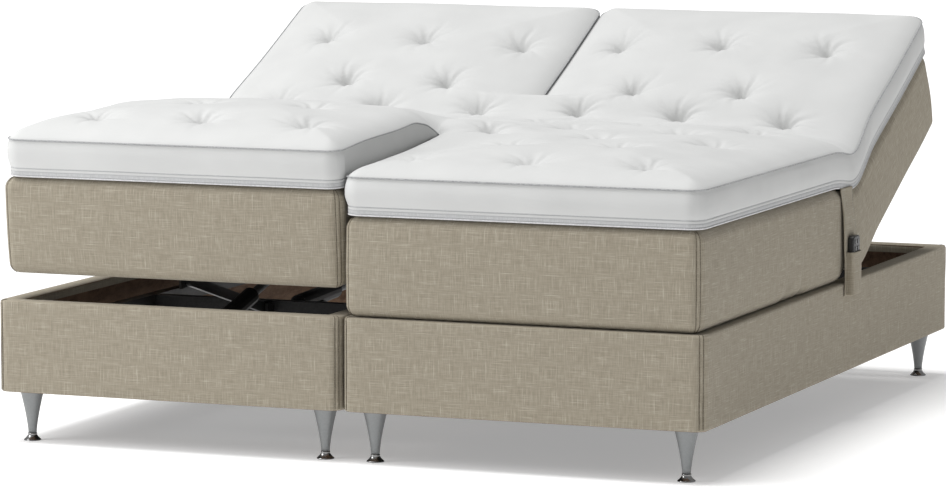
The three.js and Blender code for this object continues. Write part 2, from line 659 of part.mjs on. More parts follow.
function addUnit(bed, side) {
  const sign = side === 'left' ? -1 : 1;
  const unitX = sign * (BED_WIDTH / 4 + CENTRE_GAP / 4);
  const unit = new THREE.Group();
  unit.position.x = unitX;
  bed.add(unit);
  const blockSpan = [sign * BLOCK_INNER - unitX, sign * BLOCK_OUTER - unitX].sort((a, b) => a - b);
  const thighAngle = rad(THIGH_REST_DEG[side]);
  const backAngle = rad(BACK_REST_DEG);

  unit.add(named(`${side}_box_frame`, boxFrame(), chipboard));
  unit.add(named(`${side}_box_cover`, boxCover(), linen));
  const legX = BED_WIDTH / 4 - CENTRE_GAP / 4 - LEG_INSET;
  for (const [end, y] of [['foot', LEG_INSET], ['head', BED_LENGTH - LEG_INSET]]) {
    for (const [edge, x] of [['outer', sign * legX], ['inner', -sign * legX]]) {
      const legMesh = named(`${side}_${end}_${edge}_leg`, leg(), greySteel);
      const glideMesh = named(`${side}_${end}_${edge}_glide`, glide(), chrome);
      legMesh.position.set(x, y, 0);
      glideMesh.position.set(x, y, 0);
      unit.add(legMesh, glideMesh);
    }
  }

  unit.add(named(`${side}_sub_frame`, subFrame(), blackSteel));
  unit.add(named(`${side}_seat_block`, seatBlock(...blockSpan), linen));

  const back = hingedGroup(unit, BACK_HINGE_Y, HINGE_Z, backAngle);
  back.add(named(`${side}_back_panel`, backPanel(), blackSteel));
  back.add(named(`${side}_back_block`, panelBlock(1, backFold, 0, BACK_LENGTH, ...blockSpan,
    lift(BLOCK_BOTTOM), BACK_BLOCK_TOP, BLOCK_ROUNDING), linen));
  const backTopper = BACK_BLOCK_TOP + 2 * GAP;
  back.add(named(`${side}_topper_back`, panelBlock(1, backFold, 0, BACK_LENGTH + TOPPER_OVERHANG,
    ...topperSpan(side, unitX), backTopper, backTopper + TOPPER_HEIGHT, TOPPER_ROUNDING), ticking));

  const thigh = hingedGroup(unit, THIGH_HINGE_Y, HINGE_Z, -thighAngle);
  thigh.add(named(`${side}_thigh_panel`, thighPanel(), blackSteel));
  thigh.add(named(`${side}_thigh_block`, panelBlock(-1, thighFold, 0, THIGH_LENGTH - BUTT / 2,
    ...blockSpan, lift(BLOCK_BOTTOM), lift(BLOCK_TOP), BLOCK_ROUNDING / 3), linen));
  thigh.add(named(`${side}_topper_thigh`, panelBlock(-1, thighFold, 0, THIGH_LENGTH - BUTT / 2,
    ...topperSpan(side, unitX), lift(topperBottom), lift(topperTop), BLOCK_ROUNDING / 3), ticking));

  const calf = hingedGroup(thigh, -THIGH_LENGTH, 0, thighAngle * CALF_RATIO);
  calf.add(named(`${side}_calf_panel`, calfPanel(), blackSteel));
  calf.add(named(`${side}_calf_block`, panelBlock(-1, 0, BUTT / 2, CALF_LENGTH,
    ...blockSpan, lift(BLOCK_BOTTOM), lift(BLOCK_TOP), BLOCK_ROUNDING), linen));
  calf.add(named(`${side}_topper_calf`, panelBlock(-1, 0, BUTT / 2, CALF_LENGTH + TOPPER_OVERHANG,
    ...topperSpan(side, unitX), lift(topperBottom), lift(topperTop), TOPPER_ROUNDING), ticking));

  addDrive(unit, `${side}_back_drive`, BACK_DRIVE, backDrive, backAngle, 270);
  addDrive(unit, `${side}_leg_drive`, LEG_DRIVE, legDrive, thighAngle, 250);
  const link = calfLink(thighAngle);
  const linkGroup = hingedGroup(unit, CALF_LINK.y, CALF_LINK.z, link.turn);
  linkGroup.position.x = CALF_LINK.offset;
  linkGroup.add(named(`${side}_calf_link`, linkBar(link.length), blackSteel));
}

// A drive's housing and rod, turned to where its pin lies at rest
function addDrive(unit, name, place, drive, restAngle, housingLength) {
  const shortest = drive(0).length;
  const rest = drive(restAngle);
  const group = hingedGroup(unit, place.y, place.z, rest.turn);
  group.position.x = place.offset;
  group.add(named(`${name}_housing`, driveHousing(housingLength), blackPlastic));
  group.add(named(`${name}_rod`, driveRod(rest.length, shortest - 60), greySteel));
}

function build() {
  const bed = new THREE.Group();
  addUnit(bed, 'left');
  addUnit(bed, 'right');
  bed.add(named('topper_seat', softSection(thighFold, backFold, -TOPPER_OUTER, TOPPER_OUTER,
    THIGH_HINGE_Y, BACK_HINGE_Y, topperBottom, topperTop, TOPPER_ROUNDING), ticking));
  bed.add(named('handset_holder', handsetHolder(), linen));
  bed.add(named('handset', handset(), blackPlastic));
  buttonPlaces().forEach((place, i) => bed.add(named(`handset_button_${i + 1}`, button(place), keyPlastic)));

  // The pocket stands out past the right side, so the middle of the whole lies a little to the right
  const pocketOut = HOLDER_X + 2 * HOLDER_THICKNESS + HANDSET.thickness + 2;
  bed.position.set(-(pocketOut - BED_WIDTH / 2) / 2, -BED_LENGTH / 2, 0);
  return bed;
}

export default build();
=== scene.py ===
import itertools
import math

import bpy
import numpy as np
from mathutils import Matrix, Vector


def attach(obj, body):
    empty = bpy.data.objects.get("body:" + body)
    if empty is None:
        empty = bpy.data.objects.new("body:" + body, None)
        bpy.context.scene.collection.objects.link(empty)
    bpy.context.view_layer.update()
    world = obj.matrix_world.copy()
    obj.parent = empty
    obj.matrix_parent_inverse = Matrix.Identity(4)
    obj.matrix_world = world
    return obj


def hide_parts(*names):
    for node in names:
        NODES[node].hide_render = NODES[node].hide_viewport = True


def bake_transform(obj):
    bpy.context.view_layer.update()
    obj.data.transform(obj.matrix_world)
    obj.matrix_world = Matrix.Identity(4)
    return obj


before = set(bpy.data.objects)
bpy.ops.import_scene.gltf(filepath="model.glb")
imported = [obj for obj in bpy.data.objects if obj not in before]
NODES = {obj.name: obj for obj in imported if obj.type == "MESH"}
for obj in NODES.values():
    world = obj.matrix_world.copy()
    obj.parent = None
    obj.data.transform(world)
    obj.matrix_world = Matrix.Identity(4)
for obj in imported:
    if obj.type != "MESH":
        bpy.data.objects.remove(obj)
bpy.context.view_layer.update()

# --- Frame of the bed: x from its centre line, y from its foot end, z from the floor ---

SHIFT = np.array([-0.012, -1.0, 0.0])
HINGE_Z = 0.338
BACK_Y = 1.205
THIGH_Y = 0.900
THIGH_LENGTH = 0.300
BACK_ANGLE = math.radians(25)
THIGH_ANGLE = {"left": math.radians(22), "right": 0.0}
CALF_RATIO = 1.2
UNIT_X = {"left": -0.451, "right": 0.451}
SIDES = ("left", "right")
SIGN = {"left": -1, "right": 1}
BOX_Z = (0.124, 0.346)
BLOCK_Z = (0.3465, 0.5835)
BLOCK_X = (0.006, 0.889)


def smooth(t):
    t = np.clip(t, 0.0, 1.0)
    return t * t * (3 - 2 * t)


def ramp(value, start, end):
    return smooth((value - start) / (end - start))


def bell(value, width):
    return np.exp(-((value / width) ** 2))


def unit(vectors):
    return vectors / np.maximum(np.linalg.norm(vectors, axis=1, keepdims=True), 1e-12)


HASH_FACTORS = (374761393, 668265263, 2147483647)


def hash_noise(p, seed):
    """Smooth value noise from -1 to 1 at points p, from an integer hash of each cell's corners."""
    p = np.asarray(p, float)
    cell = np.floor(p).astype(np.int64)
    f = p - cell
    f = f * f * (3 - 2 * f)
    total = np.zeros(len(p))
    for corner in range(2 ** p.shape[1]):
        offset = np.array([(corner >> k) & 1 for k in range(p.shape[1])])
        weight = np.prod(np.where(offset, f, 1 - f), axis=1)
        h = (cell + offset) @ np.array(HASH_FACTORS[: p.shape[1]])
        h = (h + seed * 1274126177) & 0xFFFFFFFF
        h = ((h ^ (h >> 13)) * 1103515245) & 0xFFFFFFFF
        h = ((h ^ (h >> 16)) & 0xFFFF) / 32767.5 - 1
        total += weight * h
    return total


# --- Bending from flat to the rest pose ---


def turned(points, y0, z0, angle):
    """Points turned about the line along X through (y0, z0)."""
    c, s = np.cos(angle), np.sin(angle)
    y, z = points[:, 1] - y0, points[:, 2] - z0
    return np.stack([points[:, 0], y0 + y * c - z * s, z0 + y * s + z * c], axis=1)


def share(points, start, end, widening=0.0):
    """Share of the way from start to end, both (y, z); the fold widens by that much a metre above them."""
    d = np.array(end) - np.array(start)
    along = ((points[:, 1:] - np.array(start)) @ d) / (d @ d) - 0.5
    return smooth(0.5 + along / (1 + widening * np.maximum(points[:, 2] - start[1], 0)))


# Where a piece bends round each hinge: (y, z) before and after the fold, on the flat piece
KNEE_Y = THIGH_Y - THIGH_LENGTH
BLOCK_FOLDS = {
    "knee": ((KNEE_Y + 0.055, HINGE_Z), (KNEE_Y - 0.055, HINGE_Z)),
    "thigh": ((THIGH_Y + 0.075, HINGE_Z), (THIGH_Y - 0.075, HINGE_Z)),
    "back": ((BACK_Y - 0.165, HINGE_Z), (BACK_Y + 0.215, HINGE_Z), 0.6),
}
TOPPER_FOLDS = {
    "knee": ((KNEE_Y + 0.06, HINGE_Z), (KNEE_Y - 0.09, HINGE_Z)),
    "thigh": ((THIGH_Y + 0.09, HINGE_Z), (THIGH_Y - 0.12, HINGE_Z)),
    "back": ((BACK_Y - 0.17, HINGE_Z), (BACK_Y + 0.24, HINGE_Z), 0.6),
}


def bend(points, side, folds):
    """Points of a flat piece at the rest pose, turned about the knee, the thigh and the back."""
    knee, thigh, back = (share(points, *folds[name]) for name in ("knee", "thigh", "back"))
    out = turned(points, KNEE_Y, HINGE_Z, THIGH_ANGLE[side] * CALF_RATIO * knee)
    out = turned(out, THIGH_Y, HINGE_Z, -THIGH_ANGLE[side] * thigh)
    return turned(out, BACK_Y, HINGE_Z, BACK_ANGLE * back)


# --- Meshes ---


def joined(shapes):
    """Several (points, faces) as one."""
    all_points, all_faces, count = [], [], 0
    for points, faces in shapes:
        all_faces += [[i + count for i in face] for face in faces]
        all_points.append(np.asarray(points, float))
        count += len(points)
    return np.concatenate(all_points), all_faces


def grid_faces(rows, columns, first=0, closed=False, flip=False):
    """Quads between the rows of a grid of points; closed joins each row's end to its start."""
    faces = []
    for i in range(rows - 1):
        a, b = first + i * columns, first + (i + 1) * columns
        for j in range(columns if closed else columns - 1):
            k = (j + 1) % columns
            quad = [a + j, a + k, b + k, b + j]
            faces.append(quad[::-1] if flip else quad)
    return faces


def grid_outline(rows, columns):
    """Indices round the edge of a grid of points, from its first corner along its first row."""
    ids = np.arange(rows * columns).reshape(rows, columns)
    return np.concatenate([ids[0], ids[1:, -1], ids[-1, -2::-1], ids[-2:0:-1, 0]])


def make(name, points, faces, material, shift=True, normals=None, face_materials=None):
    """A smooth-shaded object; material is one, or a list that face_materials picks from."""
    data = bpy.data.meshes.new(name)
    places = np.asarray(points, float) + (SHIFT if shift else 0)
    data.from_pydata(places.tolist(), [], [list(f) for f in faces])
    materials = material if isinstance(material, (list, tuple)) else [material]
    for m in materials:
        data.materials.append(m)
    data.polygons.foreach_set("use_smooth", np.ones(len(data.polygons), bool))
    if face_materials is not None:
        data.polygons.foreach_set("material_index", np.asarray(face_materials, np.int32))
    if normals is not None:
        data.normals_split_custom_set_from_vertices(np.asarray(normals, float).tolist())
    data.update()
    obj = bpy.data.objects.new(name, data)
    bpy.context.scene.collection.objects.link(obj)
    return obj


def point_normals(points, faces):
    """Area-weighted normals of a whole mesh, so that its parts shade as one."""
    normals = np.zeros_like(points)
    quads = np.array([f if len(f) == 4 else [*f, f[-1]] for f in faces])
    a, b, c, d = (points[quads[:, k]] for k in range(4))
    n = np.cross(c - a, d - b)
    for k in range(4):
        np.add.at(normals, quads[:, k], n)
    return unit(normals)


def set_uvs(obj, flat, faces):
    """For each corner of each face, a place in metres on the side of the flat piece it lies on."""
    side_shift, end_shift = np.array([3.0, 0.0]), np.array([-3.0, 0.0])
    uvs = []
    for f in faces:
        p = flat[np.array(f)]
        n = np.abs(np.cross(p[len(f) // 2] - p[0], p[-1] - p[1]))
        if n[2] >= n[0] and n[2] >= n[1]:
            uvs.append(p[:, :2])
        elif n[0] > n[1]:
            uvs.append(p[:, 1:] + side_shift)
        else:
            uvs.append(p[:, [0, 2]] + end_shift)
    layer = obj.data.uv_layers.new(name="UVMap")
    layer.data.foreach_set("uv", np.concatenate(uvs).astype(np.float32).ravel())


def part_of(name, points, flat, faces, normals, keep, material, face_materials=None):
    """The faces of a whole mesh marked in keep, as an object of its own, and its points' indices."""
    chosen = [f for f, k in zip(faces, keep) if k]
    used = np.unique(np.concatenate([np.array(f) for f in chosen]))
    index = {old: new for new, old in enumerate(used)}
    faces_here = [[index[i] for i in f] for f in chosen]
    kinds = None if face_materials is None else [m for m, k in zip(face_materials, keep) if k]
    obj = make(name, points[used], faces_here, material, normals=normals[used], face_materials=kinds)
    set_uvs(obj, flat[used], faces_here)
    return obj, used


def blend_along(obj):
    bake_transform(obj)


def lathe(name, profile, centre, material, sides=48):
    """A turned piece about Z; the profile is (radius, z), and its ends close on the axis."""
    angles = np.linspace(0, 2 * np.pi, sides, endpoint=False)
    points = [[0, 0, profile[0][1]]]
    for r, z in profile[1:-1]:
        points += [[r * np.cos(a), r * np.sin(a), z] for a in angles]
    points.append([0, 0, profile[-1][1]])
    rows = len(profile) - 2
    faces = [[0, 1 + (j + 1) % sides, 1 + j] for j in range(sides)]
    faces += grid_faces(rows, sides, first=1, closed=True)
    last = len(points) - 1
    top = 1 + (rows - 1) * sides
    faces += [[last, top + j, top + (j + 1) % sides] for j in range(sides)]
    return make(name, np.array(points) + np.array([*centre, 0]), faces, material)


def tube(path, radius, sides):
    """A round tube of fabric or thread along a path of points."""
    path = np.asarray(path, float)
    ahead = np.roll(path, -1, axis=0) - np.roll(path, 1, axis=0)
    ahead[0], ahead[-1] = path[1] - path[0], path[-1] - path[-2]
    ahead = unit(ahead)
    side = np.cross(ahead, [0, 0, 1.0])
    side[np.linalg.norm(side, axis=1) < 1e-3] = [1, 0, 0]
    side = unit(side)
    up = np.cross(side, ahead)
    angles = np.linspace(0, 2 * np.pi, sides, endpoint=False)
    rings = [path + radius * (np.cos(a) * side + np.sin(a) * up) for a in angles]
    points = np.stack(rings, axis=1).reshape(-1, 3)
    faces = grid_faces(len(path), sides, closed=True)
    faces += [list(range(sides))[::-1], [(len(path) - 1) * sides + j for j in range(sides)]]
    return points, faces


# --- Materials ---


class Shader:
    """A node material: a Principled surface and short ways to add textures to it."""

    def __init__(self, name, roughness, metallic=0.0, **constants):
        self.material = bpy.data.materials.new(name)
        self.material.use_nodes = True
        self.tree = self.material.node_tree
        self.surface = self.tree.nodes["Principled BSDF"]
        self.surface.inputs["Roughness"].default_value = roughness
        self.surface.inputs["Metallic"].default_value = metallic
        for key, value in constants.items():
            self.surface.inputs[key.replace("_", " ")].default_value = value

    def feed(self, socket, value):
        """Link another node's output to a socket, or give it a constant."""
        if isinstance(value, bpy.types.NodeSocket):
            self.tree.links.new(value, socket)
        else:
            socket.default_value = value

    def node(self, kind, **inputs):
        made = self.tree.nodes.new(kind)
        for key, value in inputs.items():
            self.feed(made.inputs[key], value)
        return made

    def place(self, kind, scale):
        """Texture coordinates, UV in metres or Object, stretched by scale."""
        coordinates = self.node("ShaderNodeTexCoord").outputs[kind]
        return self.node("ShaderNodeMapping", Vector=coordinates, Scale=scale).outputs[0]

    def noise(self, kind, scale, detail=2.0, roughness=0.5):
        made = self.node("ShaderNodeTexNoise", Vector=self.place(kind, scale), Scale=1.0, Detail=detail,
                         Roughness=roughness)
        return made.outputs["Fac"]

    def math(self, operation, a, b):
        made = self.node("ShaderNodeMath")
        made.operation = operation
        self.feed(made.inputs[0], a)
        self.feed(made.inputs[1], b)
        return made.outputs[0]

    def ramp(self, value, stops):
        made = self.node("ShaderNodeValToRGB", Fac=value)
        elements = made.color_ramp.elements
        while len(elements) < len(stops):
            elements.new(0.5)
        for element, (position, colour) in zip(elements, stops):
            element.position = position
            element.color = (*colour, 1)
        return made.outputs["Color"]

    def mix(self, fac, a, b, blend_type="MIX"):
        made = self.tree.nodes.new("ShaderNodeMix")
        made.data_type = "RGBA"
        made.blend_type = blend_type
        for place, value in ((0, fac), (6, a), (7, b)):
            self.feed(made.inputs[place], (*value, 1) if isinstance(value, tuple) else value)
        return made.outputs[2]

    def colour(self, value):
        self.feed(self.surface.inputs["Base Color"], value)

    def bump(self, height, strength, distance):
        made = self.node("ShaderNodeBump", Height=height, Strength=strength, Distance=distance)
        self.feed(self.surface.inputs["Normal"], made.outputs[0])


def grey(value):
    return (value, value, value)


def linen_material():
    s = Shader("linen", 0.93, Sheen_Weight=0.10, Sheen_Roughness=0.5, Specular_IOR_Level=0.15)
    warp = s.noise("UV", (500, 19, 1), 2.0, 0.6)
    weft = s.noise("UV", (16, 520, 1), 2.0, 0.6)
    patches = s.noise("UV", (90, 70, 1), 3.0, 0.6)
    grain = s.noise("UV", (900, 900, 1), 1.0)
    threads = s.math("MAXIMUM", warp, weft)
    weave = s.math("MULTIPLY", s.math("ADD", warp, weft), 0.40)
    cloth = s.math("ADD", weave, s.math("MULTIPLY", patches, 0.20))
    base = s.ramp(cloth, [(0.36, (0.268, 0.236, 0.180)), (0.62, (0.396, 0.355, 0.281))])
    slub = s.ramp(threads, [(0.61, (0, 0, 0)), (0.71, (1, 1, 1))])
    tone = s.mix(s.math("MULTIPLY", slub, 0.36), base, (0.640, 0.595, 0.500))
    speckle = s.ramp(grain, [(0.3, grey(0.90)), (0.7, grey(1.0))])
    s.colour(s.mix(1.0, tone, speckle, "MULTIPLY"))
    height = s.math("ADD", s.math("MULTIPLY", threads, 0.7), s.math("MULTIPLY", grain, 0.3))
    s.bump(height, 0.35, 0.0010)
    return s.material


def ticking_material():
    s = Shader("ticking", 0.9, Sheen_Weight=0.08, Sheen_Roughness=0.5, Specular_IOR_Level=0.2)
    knit = s.noise("UV", (420, 700, 1), 2.0)
    broad = s.noise("UV", (7, 7, 1), 2.0)
    s.colour(s.ramp(broad, [(0.3, (0.588, 0.592, 0.587)), (0.7, (0.620, 0.624, 0.618))]))
    s.bump(s.math("ADD", knit, s.math("MULTIPLY", s.noise("UV", (60, 60, 1), 3.0), 1.2)), 0.22, 0.0012)
    return s.material


def trim_material(name, roughness, specular, kind, scale, stops, bump, distance=0.001):
    """Thread, tape or piping: one fine noise sets its colour and its relief."""
    s = Shader(name, roughness, Specular_IOR_Level=specular)
    stitch = s.noise(kind, scale, 1.0)
    s.colour(s.ramp(stitch, stops))
    s.bump(stitch, bump, distance)
    return s.material


def board_material(name, dark, light, stretch, roughness=0.75):
    s = Shader(name, roughness, Specular_IOR_Level=0.3)
    flakes = s.noise("Object", stretch, 4.0, 0.65)
    fine = s.noise("Object", (420, 420, 420), 2.0)
    both = s.math("ADD", s.math("MULTIPLY", flakes, 0.7), s.math("MULTIPLY", fine, 0.3))
    s.colour(s.ramp(both, [(0.38, dark), (0.62, light)]))
    s.bump(both, 0.4, 0.001)
    return s.material


def coated_material(name, dark, light, roughness, metallic, fleck=160.0, bump=0.15):
    s = Shader(name, roughness, metallic)
    fleck_noise = s.noise("Object", (fleck, fleck, fleck), 3.0)
    s.colour(s.ramp(fleck_noise, [(0.3, dark), (0.7, light)]))
    spread = s.node("ShaderNodeMapRange", Value=s.noise("Object", (14, 14, 14), 3.0))
    spread.inputs["To Min"].default_value = max(roughness - 0.1, 0.04)
    spread.inputs["To Max"].default_value = roughness + 0.1
    s.feed(s.surface.inputs["Roughness"], spread.outputs[0])
    s.bump(fleck_noise, bump, 0.0004)
    return s.material


LINEN = linen_material()
THREAD = trim_material("seam_thread", 0.9, 0.1, "Object", (300, 300, 300),
                       [(0.4, (0.115, 0.098, 0.072)), (0.6, (0.190, 0.165, 0.125))], 0.4, 0.0006)
TICKING = ticking_material()
HEM = trim_material("ticking_hem", 0.9, 0.2, "UV", (420, 60, 1),
                    [(0.35, (0.56, 0.56, 0.57)), (0.65, (0.72, 0.72, 0.73))], 0.4)
# Zip tape grey; on the topper's side it also paints the shade of the groove below the side band.
ZIP_TAPE_AND_GROOVE_SHADE = trim_material("zip_tape", 0.75, 0.3, "UV", (700, 90, 1),
                    [(0.35, (0.47, 0.475, 0.48)), (0.65, (0.55, 0.555, 0.56))], 0.5)
# The piping's greys are darker than the light cord itself: they paint the shade of the seam's shadow line
# along it.
PIPING_WITH_PAINTED_SHADE = trim_material("piping", 0.85, 0.2, "Object", (260, 260, 260),
                       [(0.35, (0.30, 0.305, 0.31)), (0.65, (0.44, 0.445, 0.45))], 0.5)
CHIPBOARD = board_material("chipboard", (0.110, 0.062, 0.036), (0.225, 0.140, 0.088), (60, 14, 60))
PANEL_BOARD = board_material("panel_board", (0.012, 0.011, 0.010), (0.035, 0.031, 0.027), (70, 12, 70),
                             0.55)
BLACK_STEEL = coated_material("black_steel", grey(0.010), grey(0.022), 0.38, 0.3)
GREY_STEEL = coated_material("grey_steel", (0.232, 0.241, 0.244), (0.252, 0.261, 0.264), 0.40, 0.45,
                             220.0, 0.02)
CHROME = coated_material("chrome", grey(0.30), grey(0.42), 0.22, 1.0, 90.0, 0.03)
BLACK_PLASTIC = coated_material("black_plastic", grey(0.010), grey(0.020), 0.42, 0.0, 900.0, 0.2)
KEY_PLASTIC = coated_material("key_plastic", grey(0.10), grey(0.14), 0.5, 0.0, 900.0, 0.15)

CAD_MATERIALS = (
    ("box_frame", CHIPBOARD), ("_panel", PANEL_BOARD), ("sub_frame", BLACK_STEEL),
    ("calf_link", BLACK_STEEL), ("_housing", BLACK_PLASTIC), ("_rod", GREY_STEEL),
)
for node_name, node in NODES.items():
    for part, material in CAD_MATERIALS:
        if part in node_name:
            node.data.materials.clear()
            node.data.materials.append(material)

# --- Camera, light and floor ---

CAMERA_PLACE = (4.2977, -10.9577, 1.7402)
CAMERA_DOWN = 0.112
CAMERA_TURN = 0.3797
CAMERA_LENS = 177.99

camera = bpy.data.objects.new("camera", bpy.data.cameras.new("camera"))
camera.location = CAMERA_PLACE
camera.rotation_euler = (math.pi / 2 - CAMERA_DOWN, 0, CAMERA_TURN)
camera.data.lens = CAMERA_LENS
camera.data.sensor_width = 36
camera.data.clip_start, camera.data.clip_end = 0.1, 200
bpy.context.scene.collection.objects.link(camera)
bpy.context.scene.camera = camera
bpy.context.scene.view_settings.view_transform = "Standard"

world = bpy.data.worlds.new("studio")
world.use_nodes = True
bpy.context.scene.world = world
background = world.node_tree.nodes["Background"]
background.inputs["Color"].default_value = (1, 1, 1, 1)
background.inputs["Strength"].default_value = 0.30


def light(name, kind, energy, direction):
    """A light that shines along direction."""
    made = bpy.data.objects.new(name, bpy.data.lights.new(name, kind))
    made.data.energy = energy
    made.rotation_euler = Vector(direction).to_track_quat("-Z", "Y").to_euler()
    bpy.context.scene.collection.objects.link(made)
    return made


# A far, broad key from above, as a large ceiling softbox gives, and a fill from the front left
key_light = light("key", "SUN", 2.65, (0.20, 0.08, -0.97))
key_light.data.angle = math.radians(30)
fill_light = light("fill", "AREA", 75, (2.6, 2.2, -2.0))
fill_light.data.shape = "DISK"
fill_light.data.size = 2.2
fill_light.location = (-3.3, -2.8, 2.6)

floor_shader = Shader("studio_floor", 0.95, Specular_IOR_Level=0.0)
floor_shader.surface.inputs["Base Color"].default_value = (0.80, 0.80, 0.80, 1)
floor_shader.surface.inputs["Emission Color"].default_value = (1, 1, 1, 1)
floor_shader.surface.inputs["Emission Strength"].default_value = 0.33
FLOOR_REACH = 40.0
floor_corners = [[x * FLOOR_REACH, y * FLOOR_REACH, 0] for x, y in ((-1, -1), (1, -1), (1, 1), (-1, 1))]
floor = make("floor", floor_corners, [[0, 1, 2, 3]], floor_shader.material, shift=False)

# --- Lower boxes ---

BOX_HALF = 0.449
BOX_LENGTH = 2.0
CORNER = 0.030
BOX_STEP = 0.02
STRAIGHT = 90.0


def box_loop():
    """Round a unit's box: place, outward direction and angle from the corner's middle."""
    places, outs, turns = [], [], []
    corners = [(BOX_HALF - CORNER, CORNER, -90), (BOX_HALF - CORNER, BOX_LENGTH - CORNER, 0),
               (CORNER - BOX_HALF, BOX_LENGTH - CORNER, 90), (CORNER - BOX_HALF, CORNER, 180)]
    for k, (cx, cy, start) in enumerate(corners):
        for t in np.linspace(0, 90, 19):
            a = math.radians(start + t)
            out = np.array([math.cos(a), math.sin(a)])
            places.append(np.array([cx, cy]) + CORNER * out)
            outs.append(out)
            turns.append(t - 45)
        nx, ny, next_start = corners[(k + 1) % 4]
        a = math.radians(next_start)
        out = np.array([math.cos(a), math.sin(a)])
        begin, end = places[-1], np.array([nx, ny]) + CORNER * out
        count = int(np.linalg.norm(end - begin) / BOX_STEP)
        for t in np.arange(1, count) / count:
            places.append(begin + (end - begin) * t)
            outs.append(out)
            turns.append(STRAIGHT)
    return np.array(places), np.array(outs), np.array(turns)


# From the middle of a corner seam to each of its two rows of stitches
SEAM_HALF = 0.005


def welt(turns):
    """How far the double-stitched corner seam stands out: two rows of stitches and a ridge between."""
    arc = np.radians(turns) * CORNER
    relief = 0.0012 * bell(arc, 0.0030) - 0.0013 * bell(np.abs(arc) - SEAM_HALF, 0.0016)
    return np.where(np.abs(turns) < 50, relief, 0.0)


INNER_CORNER = 0.1 * CORNER


def cover_profile():
    """(inset, z) of the cover: from under the box, up its side, over the rim and down inside."""
    bottom, top = BOX_Z
    profile = [(0.021, bottom + 0.0016), (0.004, bottom + 0.0002), (0.0012, bottom + 0.001),
               (0.0, bottom + 0.004)]
    profile += [(0.0, z) for z in np.linspace(bottom + 0.015, top - 0.022, 12)]
    over = [(0.0, -0.0062), (0.0004, -0.0038), (0.0016, -0.0015), (0.0038, -0.0002), (0.0070, 0.0002),
            (0.024, 0.0004), (0.038, 0.0002), (0.0452, -0.0006), (0.0485, -0.0030), (0.0495, -0.009),
            (0.0495, -0.0215)]
    return profile + [(inset, top + rise) for inset, rise in over]


def build_cover(side):
    places, outs, turns = box_loop()
    in_corner = (np.abs(turns) <= 45)[:, None]
    middle = np.array([0.0, BOX_LENGTH / 2])
    bottom, top = BOX_Z
    profile = cover_profile()
    points = []
    for inset, z in profile:
        up = (z - bottom) / (top - bottom)
        swell = 0.0016 * hash_noise(np.c_[places * 5, np.full(len(places), z * 9)], 3 + len(side))
        seam = welt(turns) * smooth((top - z) / 0.02) * smooth((z - bottom) / 0.01)
        out = -inset + (seam + swell * (0.2 + 0.8 * np.sin(np.pi * min(max(up, 0), 1))))
        xy = places + outs * out[:, None]
        if inset > CORNER * 0.9:
            # Inside the rim, the cover goes round a tighter corner
            limit = np.array([BOX_HALF, BOX_LENGTH / 2]) - inset - INNER_CORNER
            tight = middle + np.sign(places - middle) * limit + outs * INNER_CORNER
            xy = np.where(in_corner, tight, xy)
        points.append(np.c_[xy, np.full(len(xy), z)])
    faces = grid_faces(len(profile), len(places), closed=True)
    whole = np.concatenate(points)
    whole[:, 0] += UNIT_X[side]
    obj = make(f"{side}_box_linen", whole, faces, LINEN)
    set_uvs(obj, whole, faces)
    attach(obj, "base")
    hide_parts(f"{side}_box_cover")


SEAM_TURN = math.degrees(SEAM_HALF / CORNER)
THREAD_RADIUS = 0.0010
THREAD_SIDES = 6


def seams_object(name, paths, body):
    """Rows of stitching as one piece that rides on a body."""
    points, faces = joined([tube(path, THREAD_RADIUS, THREAD_SIDES) for path in paths])
    obj = make(name, points, faces, THREAD)
    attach(obj, body)


def box_seams(side):
    bottom, top = BOX_Z
    rows = [(-0.0003, z) for z in np.linspace(bottom + 0.004, top - 0.0062, 16)]
    rows += [(0.0012, top - 0.0018), (0.0040, top), (0.0140, top + 0.0003)]
    middle = np.array([UNIT_X[side], BOX_LENGTH / 2])
    to_corner = np.array([BOX_HALF, BOX_LENGTH / 2]) - CORNER
    paths = []
    for x_sign, y_sign, turn in itertools.product((-1, 1), (-1, 1), (-SEAM_TURN, SEAM_TURN)):
        a = math.atan2(y_sign, x_sign) + math.radians(turn)
        out = np.array([math.cos(a), math.sin(a)])
        centre = middle + [x_sign, y_sign] * to_corner
        paths.append([[*(centre + out * (CORNER - inset)), z] for inset, z in rows])
    seams_object(f"{side}_box_seams", paths, "base")


for side in SIDES:
    build_cover(side)
    box_seams(side)

# --- Legs and glides ---


LEG_X = 0.387
LEG_Y = {"foot": 0.062, "head": 1.938}
# (radius, z)
LEG_PROFILE = (
    [(0, 0.0185)]
    + [(0.0102 + 0.0186 * t**1.4, 0.0185 + 0.1030 * t) for t in np.linspace(0, 1, 14)]
    + [(0.0290, 0.1225), (0.0290, 0.1236), (0, 0.1236)]
)
GLIDE_PROFILE = (
    (0, 0), (0.0208, 0), (0.0214, 0.0008), (0.0212, 0.0022), (0.0198, 0.0034), (0.0168, 0.0060),
    (0.0138, 0.0092), (0.0118, 0.0124), (0.0108, 0.0150), (0.0112, 0.0156), (0.0112, 0.0178), (0, 0.0180),
)


def build_legs(side):
    for end, y in LEG_Y.items():
        for edge, sign in (("outer", 1), ("inner", -1)):
            x = UNIT_X[side] + sign * math.copysign(LEG_X, UNIT_X[side])
            leg = lathe(f"{side}_{end}_{edge}_tapered_leg", LEG_PROFILE, (x, y), GREY_STEEL)
            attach(leg, "base")
            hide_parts(f"{side}_{end}_{edge}_leg")
            glide = lathe(f"{side}_{end}_{edge}_levelling_glide", GLIDE_PROFILE, (x, y), CHROME)
            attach(glide, "base")
            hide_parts(f"{side}_{end}_{edge}_glide")


for side in SIDES:
    build_legs(side)

# --- Upholstered blocks ---

BLOCK_Y = (0.006, 1.983)
BLOCK_ROUND = 0.030
EDGE_ROUND = 0.028
BACK_DROP = 0.0175
BLOCK_CUTS = (0.75, 1.01)
SAG = {"left": 0.020, "right": 0.0}
DROOP = {"left": 0.007, "right": 0.0}


